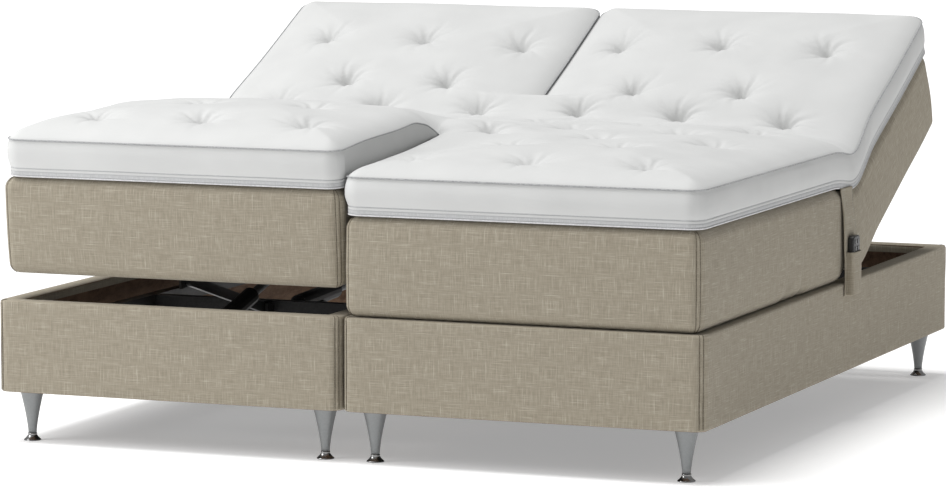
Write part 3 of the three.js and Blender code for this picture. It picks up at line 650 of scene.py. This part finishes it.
def edge_lines(low, high, step, extra=(), radius=BLOCK_ROUND):
    """Lattice lines from low to high, close together over the rounding at both ends."""
    arcs = radius * np.tan(np.radians(np.linspace(0, 45, 10)))
    start, end = low + radius, high - radius
    middle = np.linspace(start, end, max(2, round((end - start) / step) + 1))[1:-1]
    lines = np.concatenate([start - arcs, middle, end + arcs, np.array(extra)])
    lines = np.unique(np.round(lines, 5))
    return lines[np.concatenate([[True], np.diff(lines) > 0.0006])]


def lattice_shell(xs, ys, zs):
    """The outer faces of a box lattice, with shared points."""
    sizes = (len(xs), len(ys), len(zs))
    index, points, faces = {}, [], []

    def point(i, j, k):
        key = (i, j, k)
        if key not in index:
            index[key] = len(points)
            points.append((xs[i], ys[j], zs[k]))
        return index[key]

    for axis, a, b in ((0, 1, 2), (1, 2, 0), (2, 0, 1)):
        ends = (0, sizes[axis] - 1)
        for end, p, q in itertools.product(ends, range(sizes[a] - 1), range(sizes[b] - 1)):
            quad = []
            for dp, dq in ((0, 0), (1, 0), (1, 1), (0, 1)):
                ijk = [0, 0, 0]
                ijk[axis], ijk[a], ijk[b] = end, p + dp, q + dq
                quad.append(point(*ijk))
            faces.append(quad if end else quad[::-1])
    return np.array(points), faces


def knee_sag(y, side):
    """The filling gives way over the raised knee, so the top stays flatter than the panels below."""
    return SAG[side] * ramp(y, 0.12, 0.42) * (1 - ramp(y, 0.70, 0.90))


def foot_droop(y, side):
    """The raised foot end hangs a little."""
    return DROOP[side] * (1 - ramp(y, 0.0, 0.50))


RADII = np.array([BLOCK_ROUND, BLOCK_ROUND, EDGE_ROUND])
# Gathers where the cover is pulled over the folds, below and above: (y, width, depth)
LOW_GATHERS = ((0.640, 0.016, 0.0045), (0.760, 0.018, 0.0050), (0.700, 0.02, 0.003))
HIGH_GATHERS = ((0.880, 0.015, 0.004), (1.150, 0.018, 0.006), (1.215, 0.02, 0.005))


def upholstered(inner, out, low, high, side):
    """The flat block's surface, at a place on its inner box and a direction out of it."""
    flat = inner + RADII * out
    # The corner seams run up the four upright edges
    arc = np.degrees(np.arctan2(np.abs(out[:, 1]), np.abs(out[:, 0]))) - 45
    upright = (np.abs(out[:, 0]) > 1e-6) & (np.abs(out[:, 1]) > 1e-6)
    seam = np.where(upright, welt(arc), 0.0) * (1 - np.abs(out[:, 2])) ** 2
    # The filling presses the sides out between the edges, unevenly
    up = np.clip((flat[:, 2] - BLOCK_Z[0]) / (BLOCK_Z[1] - BLOCK_Z[0]), 0, 1)
    along = np.minimum(flat[:, 1] - BLOCK_Y[0], BLOCK_Y[1] - flat[:, 1])
    across = np.minimum(flat[:, 0] - low, high - flat[:, 0])
    on_side = np.abs(out[:, 0]) > np.abs(out[:, 1])
    corner = np.where(on_side, ramp(along, 0, 0.12), ramp(across, 0, 0.12))
    side_share = np.hypot(out[:, 0], out[:, 1]) ** 4
    swell = 0.0055 * np.sin(np.pi * up) * (0.35 + 0.65 * corner)
    uneven = 0.0018 * hash_noise(flat * [6, 6, 9], 11 + len(side))
    flat = flat + out * (seam + side_share * (swell + uneven))[:, None]
    # The foam under the back is lower, and the bottom is hollowed where it folds
    lowered = BACK_DROP * ramp(flat[:, 1], 1.08, 1.32) * up
    hollow = 0.062 * ramp(flat[:, 1], 1.060, 1.160) * (1 - ramp(flat[:, 1], 1.175, 1.255))
    flat[:, 2] += hollow * (1 - up) ** 1.5 - lowered
    facing = np.abs(out[:, 0]) > 0.5
    for centre, width, depth in LOW_GATHERS:
        pull = depth * bell(flat[:, 1] - centre - 0.02 * up, width) * np.clip(1 - up * 1.6, 0, 1)
        flat[:, 0] -= SIGN[side] * pull * facing
        flat[:, 2] += pull * (up < 0.25)
    for centre, width, depth in HIGH_GATHERS:
        pull = depth * bell(flat[:, 1] - centre + 0.03 * (1 - up), width)
        pull *= np.clip(up * 1.8 - 0.6, 0, 1)
        flat[:, 0] -= SIGN[side] * pull * facing
    return flat, up


def block_rest(points, flat, up, side):
    bent = bend(points, side, BLOCK_FOLDS)
    bent[:, 2] -= knee_sag(flat[:, 1], side) * up + foot_droop(flat[:, 1], side)
    return bent


def block_seams(side, low, high):
    """The stitching up the corners at the foot and head ends, each end on its own body."""
    seam_low, seam_high = BLOCK_Z[0] + EDGE_ROUND, BLOCK_Z[1] - EDGE_ROUND
    rows = [(t, seam_low) for t in np.linspace(-62, 0, 6)]
    rows += [(0, z) for z in np.linspace(seam_low, seam_high, 14)[1:]]
    rows += [(t, seam_high) for t in np.linspace(0, 62, 6)[1:]]
    tilt = np.radians([t for t, _ in rows])
    for end, y, body in (("foot", BLOCK_Y[0] + BLOCK_ROUND, f"{side}_calf"),
                         ("head", BLOCK_Y[1] - BLOCK_ROUND, f"{side}_back")):
        paths = []
        corners = ((low + BLOCK_ROUND, -1), (high - BLOCK_ROUND, 1))
        for (x, x_sign), turn in itertools.product(corners, (-SEAM_TURN, SEAM_TURN)):
            a = math.atan2(-1 if end == "foot" else 1, x_sign) + math.radians(turn)
            inner = np.array([[x, y, z] for _, z in rows])
            level = np.cos(tilt)
            out = np.stack([level * math.cos(a), level * math.sin(a), np.sin(tilt)], axis=1)
            flat, up = upholstered(inner, out, low, high, side)
            paths.append(block_rest(flat + out * 0.5 * THREAD_RADIUS, flat, up, side))
        seams_object(f"{side}_{end}_block_seams", paths, body)


def build_block(side):
    low, high = sorted(SIGN[side] * x for x in BLOCK_X)
    xs = edge_lines(low, high, 0.045)
    ys = edge_lines(*BLOCK_Y, 0.022, BLOCK_CUTS)
    zs = edge_lines(*BLOCK_Z, 0.03, radius=EDGE_ROUND)
    box, faces = lattice_shell(xs, ys, zs)
    lows = np.array([low, BLOCK_Y[0], BLOCK_Z[0]]) + RADII
    highs = np.array([high, BLOCK_Y[1], BLOCK_Z[1]]) - RADII
    inner = np.clip(box, lows, highs)
    out = unit((box - inner) / RADII)
    flat, up = upholstered(inner, out, low, high, side)
    block_seams(side, low, high)
    points = block_rest(flat, flat, up, side)
    normals = point_normals(points, faces)
    middle = np.array([box[f].mean(axis=0)[1] for f in faces])
    near, far = BLOCK_CUTS
    plan = (
        ("leg", middle < near, "knee", [f"{side}_calf_block", f"{side}_thigh_block"]),
        ("seat", (middle > near) & (middle < far), "thigh", [f"{side}_seat_block"]),
        ("back", middle > far, "back", [f"{side}_back_block"]),
    )
    for name, keep, fold, nodes in plan:
        obj, used = part_of(f"{side}_{name}_upholstery", points, flat, faces, normals, keep, LINEN)
        blend_along(obj)
        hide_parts(*nodes)


for side in SIDES:
    build_block(side)

# --- Topper ---

TOPPER_X = 0.889
TOPPER_IN = 0.0045
TOPPER_Y = (0.009, 2.000)
TOPPER_Z = 0.5845
TOPPER_CORNER = 0.040
SEAM_Z = 0.6755
SLIT_FOOT = 0.615
SLIT_HEAD = 1.475
TOPPER_CUTS = (0.70, 0.993)
TOPPER_STEP = 0.0055
CROWN = 0.058
# Tufts: (y, which columns), and the two sets of columns of each half
TUFT_ROWS = (
    (0.160, 0), (0.425, 1), (0.650, 0), (0.835, 1), (1.010, 0), (1.180, 1), (1.350, 0), (1.487, 1),
    (1.735, 0),
)
TUFT_COLUMNS = {
    "left": ((0.140, 0.425, 0.715), (0.262, 0.550)),
    "right": ((0.130, 0.410, 0.700), (0.265, 0.550)),
}
TUFT_SEED = {"left": 21, "right": 37}
TUFT_WANDER = 0.008
# Tufts nearer together than this have a soft valley between them
VALLEY_REACH = 0.29
# The side from the hem up to the seam: (how far it stands out, height above the underside)
TOPPER_PROFILE = (
    (-0.0060, 0.0000), (-0.0012, 0.0006), (0.0006, 0.0022), (0.0006, 0.0044), (-0.0018, 0.0056),
    (-0.0004, 0.0070), (0.0000, 0.0130), (-0.0014, 0.0142), (-0.0002, 0.0156), (0.0002, 0.0206),
    (-0.0014, 0.0220), (0.0002, 0.0240), (0.0016, 0.0290), (0.0042, 0.0370), (0.0060, 0.0480),
    (0.0062, 0.0600), (0.0048, 0.0720), (0.0022, 0.0830), (0.0002, 0.0885),
)
# The material above each level of it: ticking, hem or zip tape. The zip tape's grey on the two levels
# round the groove 22 mm up is painted shade: the groove's shadow line below the side band.
PROFILE_KINDS = (1, 1, 1, 2, 2, 2, 2, 2, 0, 2, 2, 0, 0, 0, 0, 0, 0, 0)
PIPING_RADIUS, PIPING_PROUD, PIPING_SIDES = 0.0018, 0.0016, 8
# Wrinkles pressed up where the back folds: (y, width, depth)
FOLD_WRINKLES = ((1.135, 0.012, 0.004), (1.200, 0.014, 0.006), (1.255, 0.012, 0.005))


def plan_grid(side):
    """A half's top in plan: its outer corners rounded, its lines on the cuts and slit ends."""
    xs = np.linspace(TOPPER_IN, TOPPER_X, round(TOPPER_X / TOPPER_STEP))
    foot_end = slit_foot(side)
    stops = [TOPPER_Y[0], foot_end, *TOPPER_CUTS, SLIT_HEAD, TOPPER_Y[1]]
    ys = [stops[0]]
    for a, b in zip(stops, stops[1:]):
        ys += list(np.linspace(a, b, max(2, round((b - a) / TOPPER_STEP)) + 1)[1:])
    gx, gy = np.meshgrid(xs, np.array(ys))
    flat_x, flat_y = gx.copy(), gy.copy()
    r = TOPPER_CORNER
    for end_x, into_x in ((TOPPER_X, -1), (TOPPER_IN, 1)):
        for end_y, into_y in ((TOPPER_Y[0], 1), (TOPPER_Y[1], -1)):
            a = 1 - (gx - end_x) * into_x / r
            b = 1 - (gy - end_y) * into_y / r
            inside = (a > 0) & (b > 0)
            scale = np.where(inside, np.maximum(a, b) / np.maximum(np.hypot(a, b), 1e-9), 1)
            flat_x = np.where(inside, end_x + (1 - a * scale) * r * into_x, flat_x)
            flat_y = np.where(inside, end_y + (1 - b * scale) * r * into_y, flat_y)
    # The slits close to a point, and the halves are one between them
    closed = ramp(np.minimum(gy - foot_end, SLIT_HEAD - gy), -0.02, 0)
    flat_x -= TOPPER_IN * closed * (1 - smooth((gx - TOPPER_IN) / 0.06))
    return flat_x, flat_y


def inside_distance(x, y, low_x):
    """How far a point lies inside the rounded outline from low_x out to the side."""
    r = TOPPER_CORNER
    cx, cy = (low_x + TOPPER_X) / 2, sum(TOPPER_Y) / 2
    qx = np.abs(x - cx) - ((TOPPER_X - low_x) / 2 - r)
    qy = np.abs(y - cy) - ((TOPPER_Y[1] - TOPPER_Y[0]) / 2 - r)
    outside = np.hypot(np.maximum(qx, 0), np.maximum(qy, 0)) + np.minimum(np.maximum(qx, qy), 0)
    return np.maximum(r - outside, 0)


def rise(d):
    """A quick roll up from a seam, then a slow crown."""
    return 0.55 * (1 - np.exp(-np.maximum(d, 0) / 0.032)) + 0.45 * smooth(d / 0.30)


def tuft(x, y, k, tx, ty, side):
    """The k-th tuft: a pit with creases gathered round it."""
    dx = x - tx - TUFT_WANDER * math.sin(k * 7.3 + TUFT_SEED[side])
    dy = y - ty - TUFT_WANDER * math.cos(k * 5.1 + TUFT_SEED[side])
    r = np.hypot(dx, dy)
    wander = np.arctan2(dy, dx) + 0.12 * np.sin(r * 45 + k)
    creases = np.abs(np.sin(4.5 * wander + k * 1.7)) ** 0.6
    creases += 0.5 * np.abs(np.sin(7.5 * wander + k)) ** 0.6
    # Less of a tuft shows where the fold presses the topper together
    strength = 1 - 0.65 * ramp(ty, 0.74, 0.80) * (1 - ramp(ty, 0.99, 1.05)) if side == "left" else 1
    strength *= 1 - 0.45 * ramp(ty, 1.08, 1.14) * (1 - ramp(ty, 1.22, 1.30))
    pit = 0.0290 * np.exp(-((r / 0.0125) ** 1.1)) + 0.0145 * bell(r, 0.050)
    gathers = (creases - 0.95) * (0.0052 * bell(r - 0.024, 0.022) + 0.0026 * bell(r - 0.058, 0.034))
    return strength * (gathers - pit)


def topper_height(x, y, side):
    """Height of the top above the seam line: a crown that dies out at the seams, and the tufts."""
    tufts = [(tx, ty) for ty, kind in TUFT_ROWS for tx in TUFT_COLUMNS[side][kind]]
    along = np.interp(y, *seam_line(side)[:2])
    beyond = np.maximum(np.minimum(along - SLIT_FOOT, SLIT_HEAD - y), 0)
    whole = inside_distance(x, y, -TOPPER_X)
    half = inside_distance(x, y, TOPPER_IN)
    edge = np.where(beyond > 0, whole, half)
    slit = np.hypot(np.maximum(x - TOPPER_IN, 0), 4.5 * beyond)
    # The cover is pulled tight over the raised knee
    own = 0.5 + 0.5 * smooth(x / 0.20)
    taut = 0.64 * bell(along - 0.68, 0.17) * (own if side == "left" else 1 - own)
    height = CROWN * (1 - taut) * rise(edge) * np.where(beyond > 0, rise(slit), 1)
    full = rise(edge) * rise(slit)
    places = np.stack([SIGN[side] * x.ravel(), y.ravel()], axis=1) + 7
    billow = hash_noise(places * 5.5, 21).reshape(x.shape)
    fine = hash_noise(places * 16, 22).reshape(x.shape)
    height += full * (0.0035 * billow + 0.0012 * fine)
    for k, place in enumerate(tufts):
        height += tuft(x, y, k, *place, side)
    # Soft valleys between neighbouring tufts
    for i, (ax, ay) in enumerate(tufts):
        for bx, by in tufts[i + 1:]:
            gap = math.hypot(bx - ax, by - ay)
            if gap > VALLEY_REACH:
                continue
            t = np.clip(((x - ax) * (bx - ax) + (y - ay) * (by - ay)) / gap**2, 0, 1)
            away = np.hypot(x - ax - t * (bx - ax), y - ay - t * (by - ay))
            height -= 0.0030 * bell(away, 0.024) * (0.5 + 0.5 * np.cos(2 * np.pi * t))
    # The head edge waves a little
    height += 0.003 * full * np.sin(SIGN[side] * x * 11 + 1) * ramp(y, 1.80, 1.95)
    for centre, width, size in FOLD_WRINKLES:
        line = y - centre - 0.012 * np.sin(x * 9 + centre * 40 + TUFT_SEED[side])
        uneven = 0.6 + 0.4 * np.sin(x * 14 + centre * 90)
        height -= size * bell(line, width) * full * uneven
    return np.maximum(height, -0.002)


def back_bow(y):
    """The topper bows up a little where it leaves the fold of the back."""
    return 0.006 * bell(y - 1.50, 0.14)


def seam_line(side):
    """Along the centre: y on the flat topper, and world y and height of the bent seam line."""
    y = np.linspace(0, 1.99, 800)
    line = np.stack([np.zeros(y.size), y, np.full(y.size, SEAM_Z)], axis=1)
    bent = bend(line, side, TOPPER_FOLDS)
    return y, bent[:, 1], bent[:, 2] - knee_sag(y, side) - foot_droop(y, side)


def slit_foot(side):
    y, world_y, _ = seam_line(side)
    return float(np.interp(SLIT_FOOT, world_y, y))


def centre_lift(x, world_y, side):
    """At rest the left is raised and the right is flat: the middle of the topper joins them."""
    raised = 0.5 * (np.interp(world_y, *seam_line("left")[1:]) - SEAM_Z)
    raised *= 1 - ramp(world_y, 0.92, 1.02)
    if side == "left":
        begin = np.clip((world_y - 0.45) / (SLIT_FOOT - 0.45), 0, 1) ** 2
        reach = 0.055 + 0.060 * ramp(world_y, 0.60, 0.74)
        return -raised * begin * np.exp(-((x / reach) ** 1.4))
    early = np.clip((world_y - 0.05) / (SLIT_FOOT - 0.05), 0, 1)
    reach = 0.10 + 0.17 * ramp(world_y, 0.30, 0.64)
    return raised * early * (1 - smooth((x - TOPPER_IN) / reach))


def rest_shape(whole, flat, side):
    """The flat topper laid over the raised sections."""
    y = flat[:, 1]
    share_up = ramp(flat[:, 2], TOPPER_Z - 0.01, SEAM_Z)
    lowered = whole - np.outer(BACK_DROP * ramp(y, 1.08, 1.32), [0, 0, 1])
    bent = bend(lowered, side, TOPPER_FOLDS)
    inner_hold = 0.38 * share_up * bell(flat[:, 0], 0.12) * (1 - ramp(y, 0.45, 0.60))
    bent[:, 2] += back_bow(y) - (1 - inner_hold) * knee_sag(y, side) - foot_droop(y, side)
    bent[:, 2] += share_up * centre_lift(flat[:, 0], bent[:, 1], side)
    if side == "left":
        # The left half is drawn in a little, most of all at its head
        drawn_in = 0.010 * smooth(flat[:, 0] / 0.3)
        bent[:, 0] *= 1 - drawn_in - 0.012 * ramp(y, 1.25, 1.60) * smooth(flat[:, 0] / 0.5)
    return bent


def centre_gap(side):
    """Along the centre, half of what the other half's top stands above this one's."""
    lines = {}
    for each in SIDES:
        y = np.linspace(0.45, 1.60, 500)
        x = np.zeros(y.size)
        line = np.stack([x, y, SEAM_Z + topper_height(x, y, each)], axis=1)
        shape = rest_shape(line, line, each)
        lines[each] = (shape[:, 1], shape[:, 2])
    places, own = lines[side]
    other = lines["right" if side == "left" else "left"]
    return places, 0.5 * (np.interp(places, *other) - own)


def build_topper(side):
    x, y = plan_grid(side)
    rows, columns = x.shape
    z = SEAM_Z + topper_height(x, y, side)
    top = np.stack([x, y, z], axis=-1).reshape(-1, 3)
    # Round the edge of the grid, from the foot's inner corner, towards the outer side
    loop = grid_outline(rows, columns)
    edge = top[loop]
    ahead = np.roll(edge[:, :2], -1, axis=0) - np.roll(edge[:, :2], 1, axis=0)
    out = unit(np.stack([ahead[:, 1], -ahead[:, 0]], axis=1))
    on_centre = edge[:, 0] < TOPPER_IN + 1e-4
    joined = on_centre & (edge[:, 1] > slit_foot(side)) & (edge[:, 1] < SLIT_HEAD)
    puff = np.where(on_centre, 0.12, 1.0)
    points, faces = [top], grid_faces(rows, columns)
    kinds = [0] * len(faces)
    n = len(loop)
    first = len(top)
    seed = 5 if side == "left" else 9
    for level, (proud, up) in enumerate(TOPPER_PROFILE):
        ripple = 0.0022 * hash_noise(np.c_[edge[:, :2] * 8, np.full(n, level * 0.22)], seed)
        ripple *= smooth((up - 0.026) / 0.02) * smooth((0.0885 - up) / 0.02)
        wave = 0.0015 * hash_noise(np.c_[edge[:, :2] * 5, np.full(n, 3.0)], seed + 1)
        xy = edge[:, :2] + out * ((proud + ripple) * puff)[:, None]
        xy[:, 0] = np.maximum(xy[:, 0], 0.0008)
        points.append(np.c_[xy, TOPPER_Z + up + wave * (up / 0.09)])
    levels = len(TOPPER_PROFILE)
    faces += grid_faces(levels, n, first=first, closed=True)
    kinds += [kind for kind in PROFILE_KINDS for _ in range(n)]
    last = first + (levels - 1) * n
    for j in range(n):
        k = (j + 1) % n
        faces.append([last + j, last + k, int(loop[k]), int(loop[j])])
        kinds.append(0)
    # The underside, one strip for each row of the grid
    under = np.zeros(rows * columns, int)
    under[loop] = first + np.arange(n)
    under = under.reshape(rows, columns).tolist()
    for here, ahead in zip(under[1:-2], under[2:-1]):
        faces.append([here[0], ahead[0], ahead[-1], here[-1]])
        kinds.append(0)
    end_faces = [under[0][::-1] + [under[1][0], under[1][-1]],
                 under[-1] + [under[-2][-1], under[-2][0]]]
    flat = np.concatenate(points)
    share_up = ramp(flat[:, 2], TOPPER_Z - 0.01, SEAM_Z)
    whole = flat.copy()
    whole[:, 0] *= SIGN[side]
    if side == "left":
        faces = [f[::-1] for f in faces]
        end_faces = [f[::-1] for f in end_faces]
    bent = rest_shape(whole, flat, side)
    open_ends = ramp(flat[:, 1], slit_foot(side), slit_foot(side) + 0.01)
    open_ends *= 1 - ramp(flat[:, 1], SLIT_HEAD - 0.01, SLIT_HEAD)
    near_centre = share_up * open_ends * (1 - smooth(flat[:, 0] / 0.14))
    bent[:, 2] += near_centre * np.interp(bent[:, 1], *centre_gap(side))
    normals = point_normals(bent, faces)
    seam = np.zeros(len(flat), bool)
    seam[loop[joined]] = True
    normals[seam, 0] = 0
    normals = unit(normals)
    middle = np.array([flat[f, 1].mean() for f in faces])
    near, far = TOPPER_CUTS
    plan = (
        ("legs", middle < near, "knee", [f"{side}_topper_calf", f"{side}_topper_thigh"]),
        ("middle", (middle > near) & (middle < far), "thigh", ["topper_seat"]),
        ("head", middle > far, "back", [f"{side}_topper_back"]),
    )
    for name, keep, fold, nodes in plan:
        keep = np.concatenate([keep, [name == "legs", name == "head"]])
        obj, used = part_of(f"{side}_topper_{name}", bent, whole, faces + end_faces, normals, keep,
                            [TICKING, HEM, ZIP_TAPE_AND_GROOVE_SHADE], kinds + [0, 0])
        blend_along(obj)
        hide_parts(*nodes)
    # Piping along the seam, except where the topper is whole
    proud = np.where(on_centre, 0.0, PIPING_PROUD)[:, None] * out * [SIGN[side], 1]
    add_piping(side, bent[loop] + np.c_[proud, np.zeros(n)], whole[loop], ~joined)


def add_piping(side, line, flat_line, shown):
    """The piping in three parts, each of the runs of the seam line that are shown between its cuts."""
    near, far = TOPPER_CUTS
    y = flat_line[:, 1]
    for name, low, high, fold in (("legs", -1, near, "knee"), ("middle", near, far, "thigh"),
                                  ("head", far, 3, "back")):
        chosen = shown & (y >= low - 1e-6) & (y <= high + 1e-6)
        order = np.roll(np.arange(len(y)), -int(np.argmin(chosen)))
        runs = np.split(order, np.flatnonzero(np.diff(chosen[order].astype(int))) + 1)
        runs = [run for run in runs if chosen[run[0]] and len(run) > 2]
        points, faces = joined([tube(line[run], PIPING_RADIUS, PIPING_SIDES) for run in runs])
        obj = make(f"{side}_piping_{name}", points, faces, PIPING_WITH_PAINTED_SHADE)
        blend_along(obj)


for side in SIDES:
    build_topper(side)

# --- Handset and its holder ---

HOLDER_Y = 1.105
STRAP = 0.0025
POCKET_X = (0.9035, 0.9240)
POCKET_HALF = 0.0355
POCKET_THICK = 0.0018
POCKET_FLOOR = 0.3190
# (z, swell) up the pocket, with its turned hem at the top
POCKET_LEVELS = (
    (0.3170, -0.004), (0.3185, 0.0), (0.325, 0.0), (0.345, 0.0), (0.37, 0.0004), (0.395, 0.0004),
    (0.412, 0.0002), (0.4155, -0.0006), (0.418, 0.0006), (0.4215, 0.0008), (0.4240, 0.0004),
)


def strap_x(z):
    """The strap leans in over the block's edge, and hangs straight below."""
    return 0.9015 - 0.0115 * ramp(z, 0.470, 0.582)


def build_strap():
    levels = np.concatenate([np.linspace(0.3155, 0.56, 34), np.linspace(0.566, 0.5825, 5)])
    across = np.linspace(-1, 1, 13)
    front, back = [], []
    for z in levels:
        taper = ramp(z, 0.430, 0.560)
        wander = 0.0045 * math.sin((z - 0.32) * 34)
        y0 = HOLDER_Y - 0.046 + wander - 0.004 * taper
        y1 = HOLDER_Y + 0.046 - 0.006 * taper + 0.4 * wander
        for t in across:
            y = y0 + (y1 - y0) * (t + 1) / 2
            ripple = 0.0013 * math.sin(z * 42 + t * 2.3) * taper + 0.0010 * t * t
            front.append([strap_x(z) + STRAP + ripple, y, z])
            back.append([strap_x(z) + ripple, y, z])
    rows, columns = len(levels), len(across)
    faces = grid_faces(rows, columns) + grid_faces(rows, columns, first=rows * columns, flip=True)
    rim = grid_outline(rows, columns).tolist()
    for a, b in zip(rim, rim[1:] + rim[:1]):
        faces.append([a, a + rows * columns, b + rows * columns, b])
    return np.array(front + back), faces


def rounded_slab(x0, x1, y0, y1, z0, z1, corner, edge):
    """An upright slab facing +X: corners rounded in its face, and its edges rounded over."""
    loop = []
    for cy, cz, start in ((y1 - corner, z0 + corner, -90), (y1 - corner, z1 - corner, 0),
                          (y0 + corner, z1 - corner, 90), (y0 + corner, z0 + corner, 180)):
        for t in np.linspace(0, 90, 7):
            a = math.radians(start + t)
            loop.append((cy, cz, math.cos(a), math.sin(a)))
    arcs = np.radians(np.linspace(90, 0, 5))
    rings = [(x0 + edge - edge * math.sin(a), edge - edge * math.cos(a)) for a in arcs]
    rings += [(x1 - edge + edge * math.sin(a), edge - edge * math.cos(a)) for a in arcs[::-1]]
    points = []
    for x, inset in rings:
        points += [[x, cy + (corner - inset) * c, cz + (corner - inset) * s] for cy, cz, c, s in loop]
    n = len(loop)
    faces = grid_faces(len(rings), n, closed=True, flip=True)
    faces += [list(range(n)), [(len(rings) - 1) * n + j for j in range(n)][::-1]]
    return np.array(points), [f[::-1] for f in faces]


def build_pocket():
    """A gusseted front open at the top, with a turned hem."""
    p0, p1 = HOLDER_Y - POCKET_HALF, HOLDER_Y + POCKET_HALF
    back, out = POCKET_X
    outline = [(back, p0), (out - 0.006, p0 - 0.0005), (out - 0.0015, p0 + 0.003), (out, p0 + 0.009),
               (out + 0.0006, HOLDER_Y), (out, p1 - 0.009), (out - 0.0015, p1 - 0.003),
               (out - 0.006, p1 + 0.0005), (back, p1)]
    dense = []
    for (ax, ay), (bx, by) in zip(outline, outline[1:]):
        dense += [(ax + (bx - ax) * t, ay + (by - ay) * t) for t in np.linspace(0, 1, 4)[:-1]]
    dense = np.array(dense + [outline[-1]])
    centre = np.array([back + 0.004, HOLDER_Y])
    d = unit(dense - centre)
    inside = [(max(z, POCKET_FLOOR), -POCKET_THICK) for z, _ in POCKET_LEVELS[::-1]]
    n = len(dense)
    shell = []
    for z, swell in (*POCKET_LEVELS, *inside):
        shell.append(np.c_[np.maximum(dense + d * swell, [back, -9]), np.full(n, z)])
    faces = grid_faces(len(shell), n)
    last = (len(shell) - 1) * n
    faces += [list(range(n))[::-1], list(range(last, last + n))]
    return np.concatenate(shell), faces


def build_holder():
    points, faces = joined([build_strap(), build_pocket()])
    obj = make("handset_fabric_holder", points, faces, LINEN)
    set_uvs(obj, points, faces)
    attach(obj, "base")
    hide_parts("handset_holder")


build_holder()

# Low and high x, y and z of the handset, and the places of its four keys
HANDSET = (0.9045, 0.9205, 1.078, 1.132, 0.3222, 0.4638)
KEY_X = (0.9191, 0.9221)
KEY_HALF = 0.0054
KEY_TOP = 0.449
KEY_PITCH = (0.020, 0.017)

points, faces = rounded_slab(*HANDSET, corner=0.012, edge=0.0035)
shell = make("handset_shell", points, faces, BLACK_PLASTIC)
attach(shell, "handset")
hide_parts("handset")
for row in (0, 1):
    for column in (0, 1):
        y, z = HOLDER_Y + (column - 0.5) * KEY_PITCH[0], KEY_TOP - row * KEY_PITCH[1]
        sides = (y - KEY_HALF, y + KEY_HALF, z - KEY_HALF, z + KEY_HALF)
        points, faces = rounded_slab(*KEY_X, *sides, corner=0.002, edge=0.0008)
        number = 1 + row * 2 + column
        key = make(f"handset_key_{number}", points, faces, KEY_PLASTIC)
        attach(key, f"handset_button_{number}")
        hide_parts(f"handset_button_{number}")
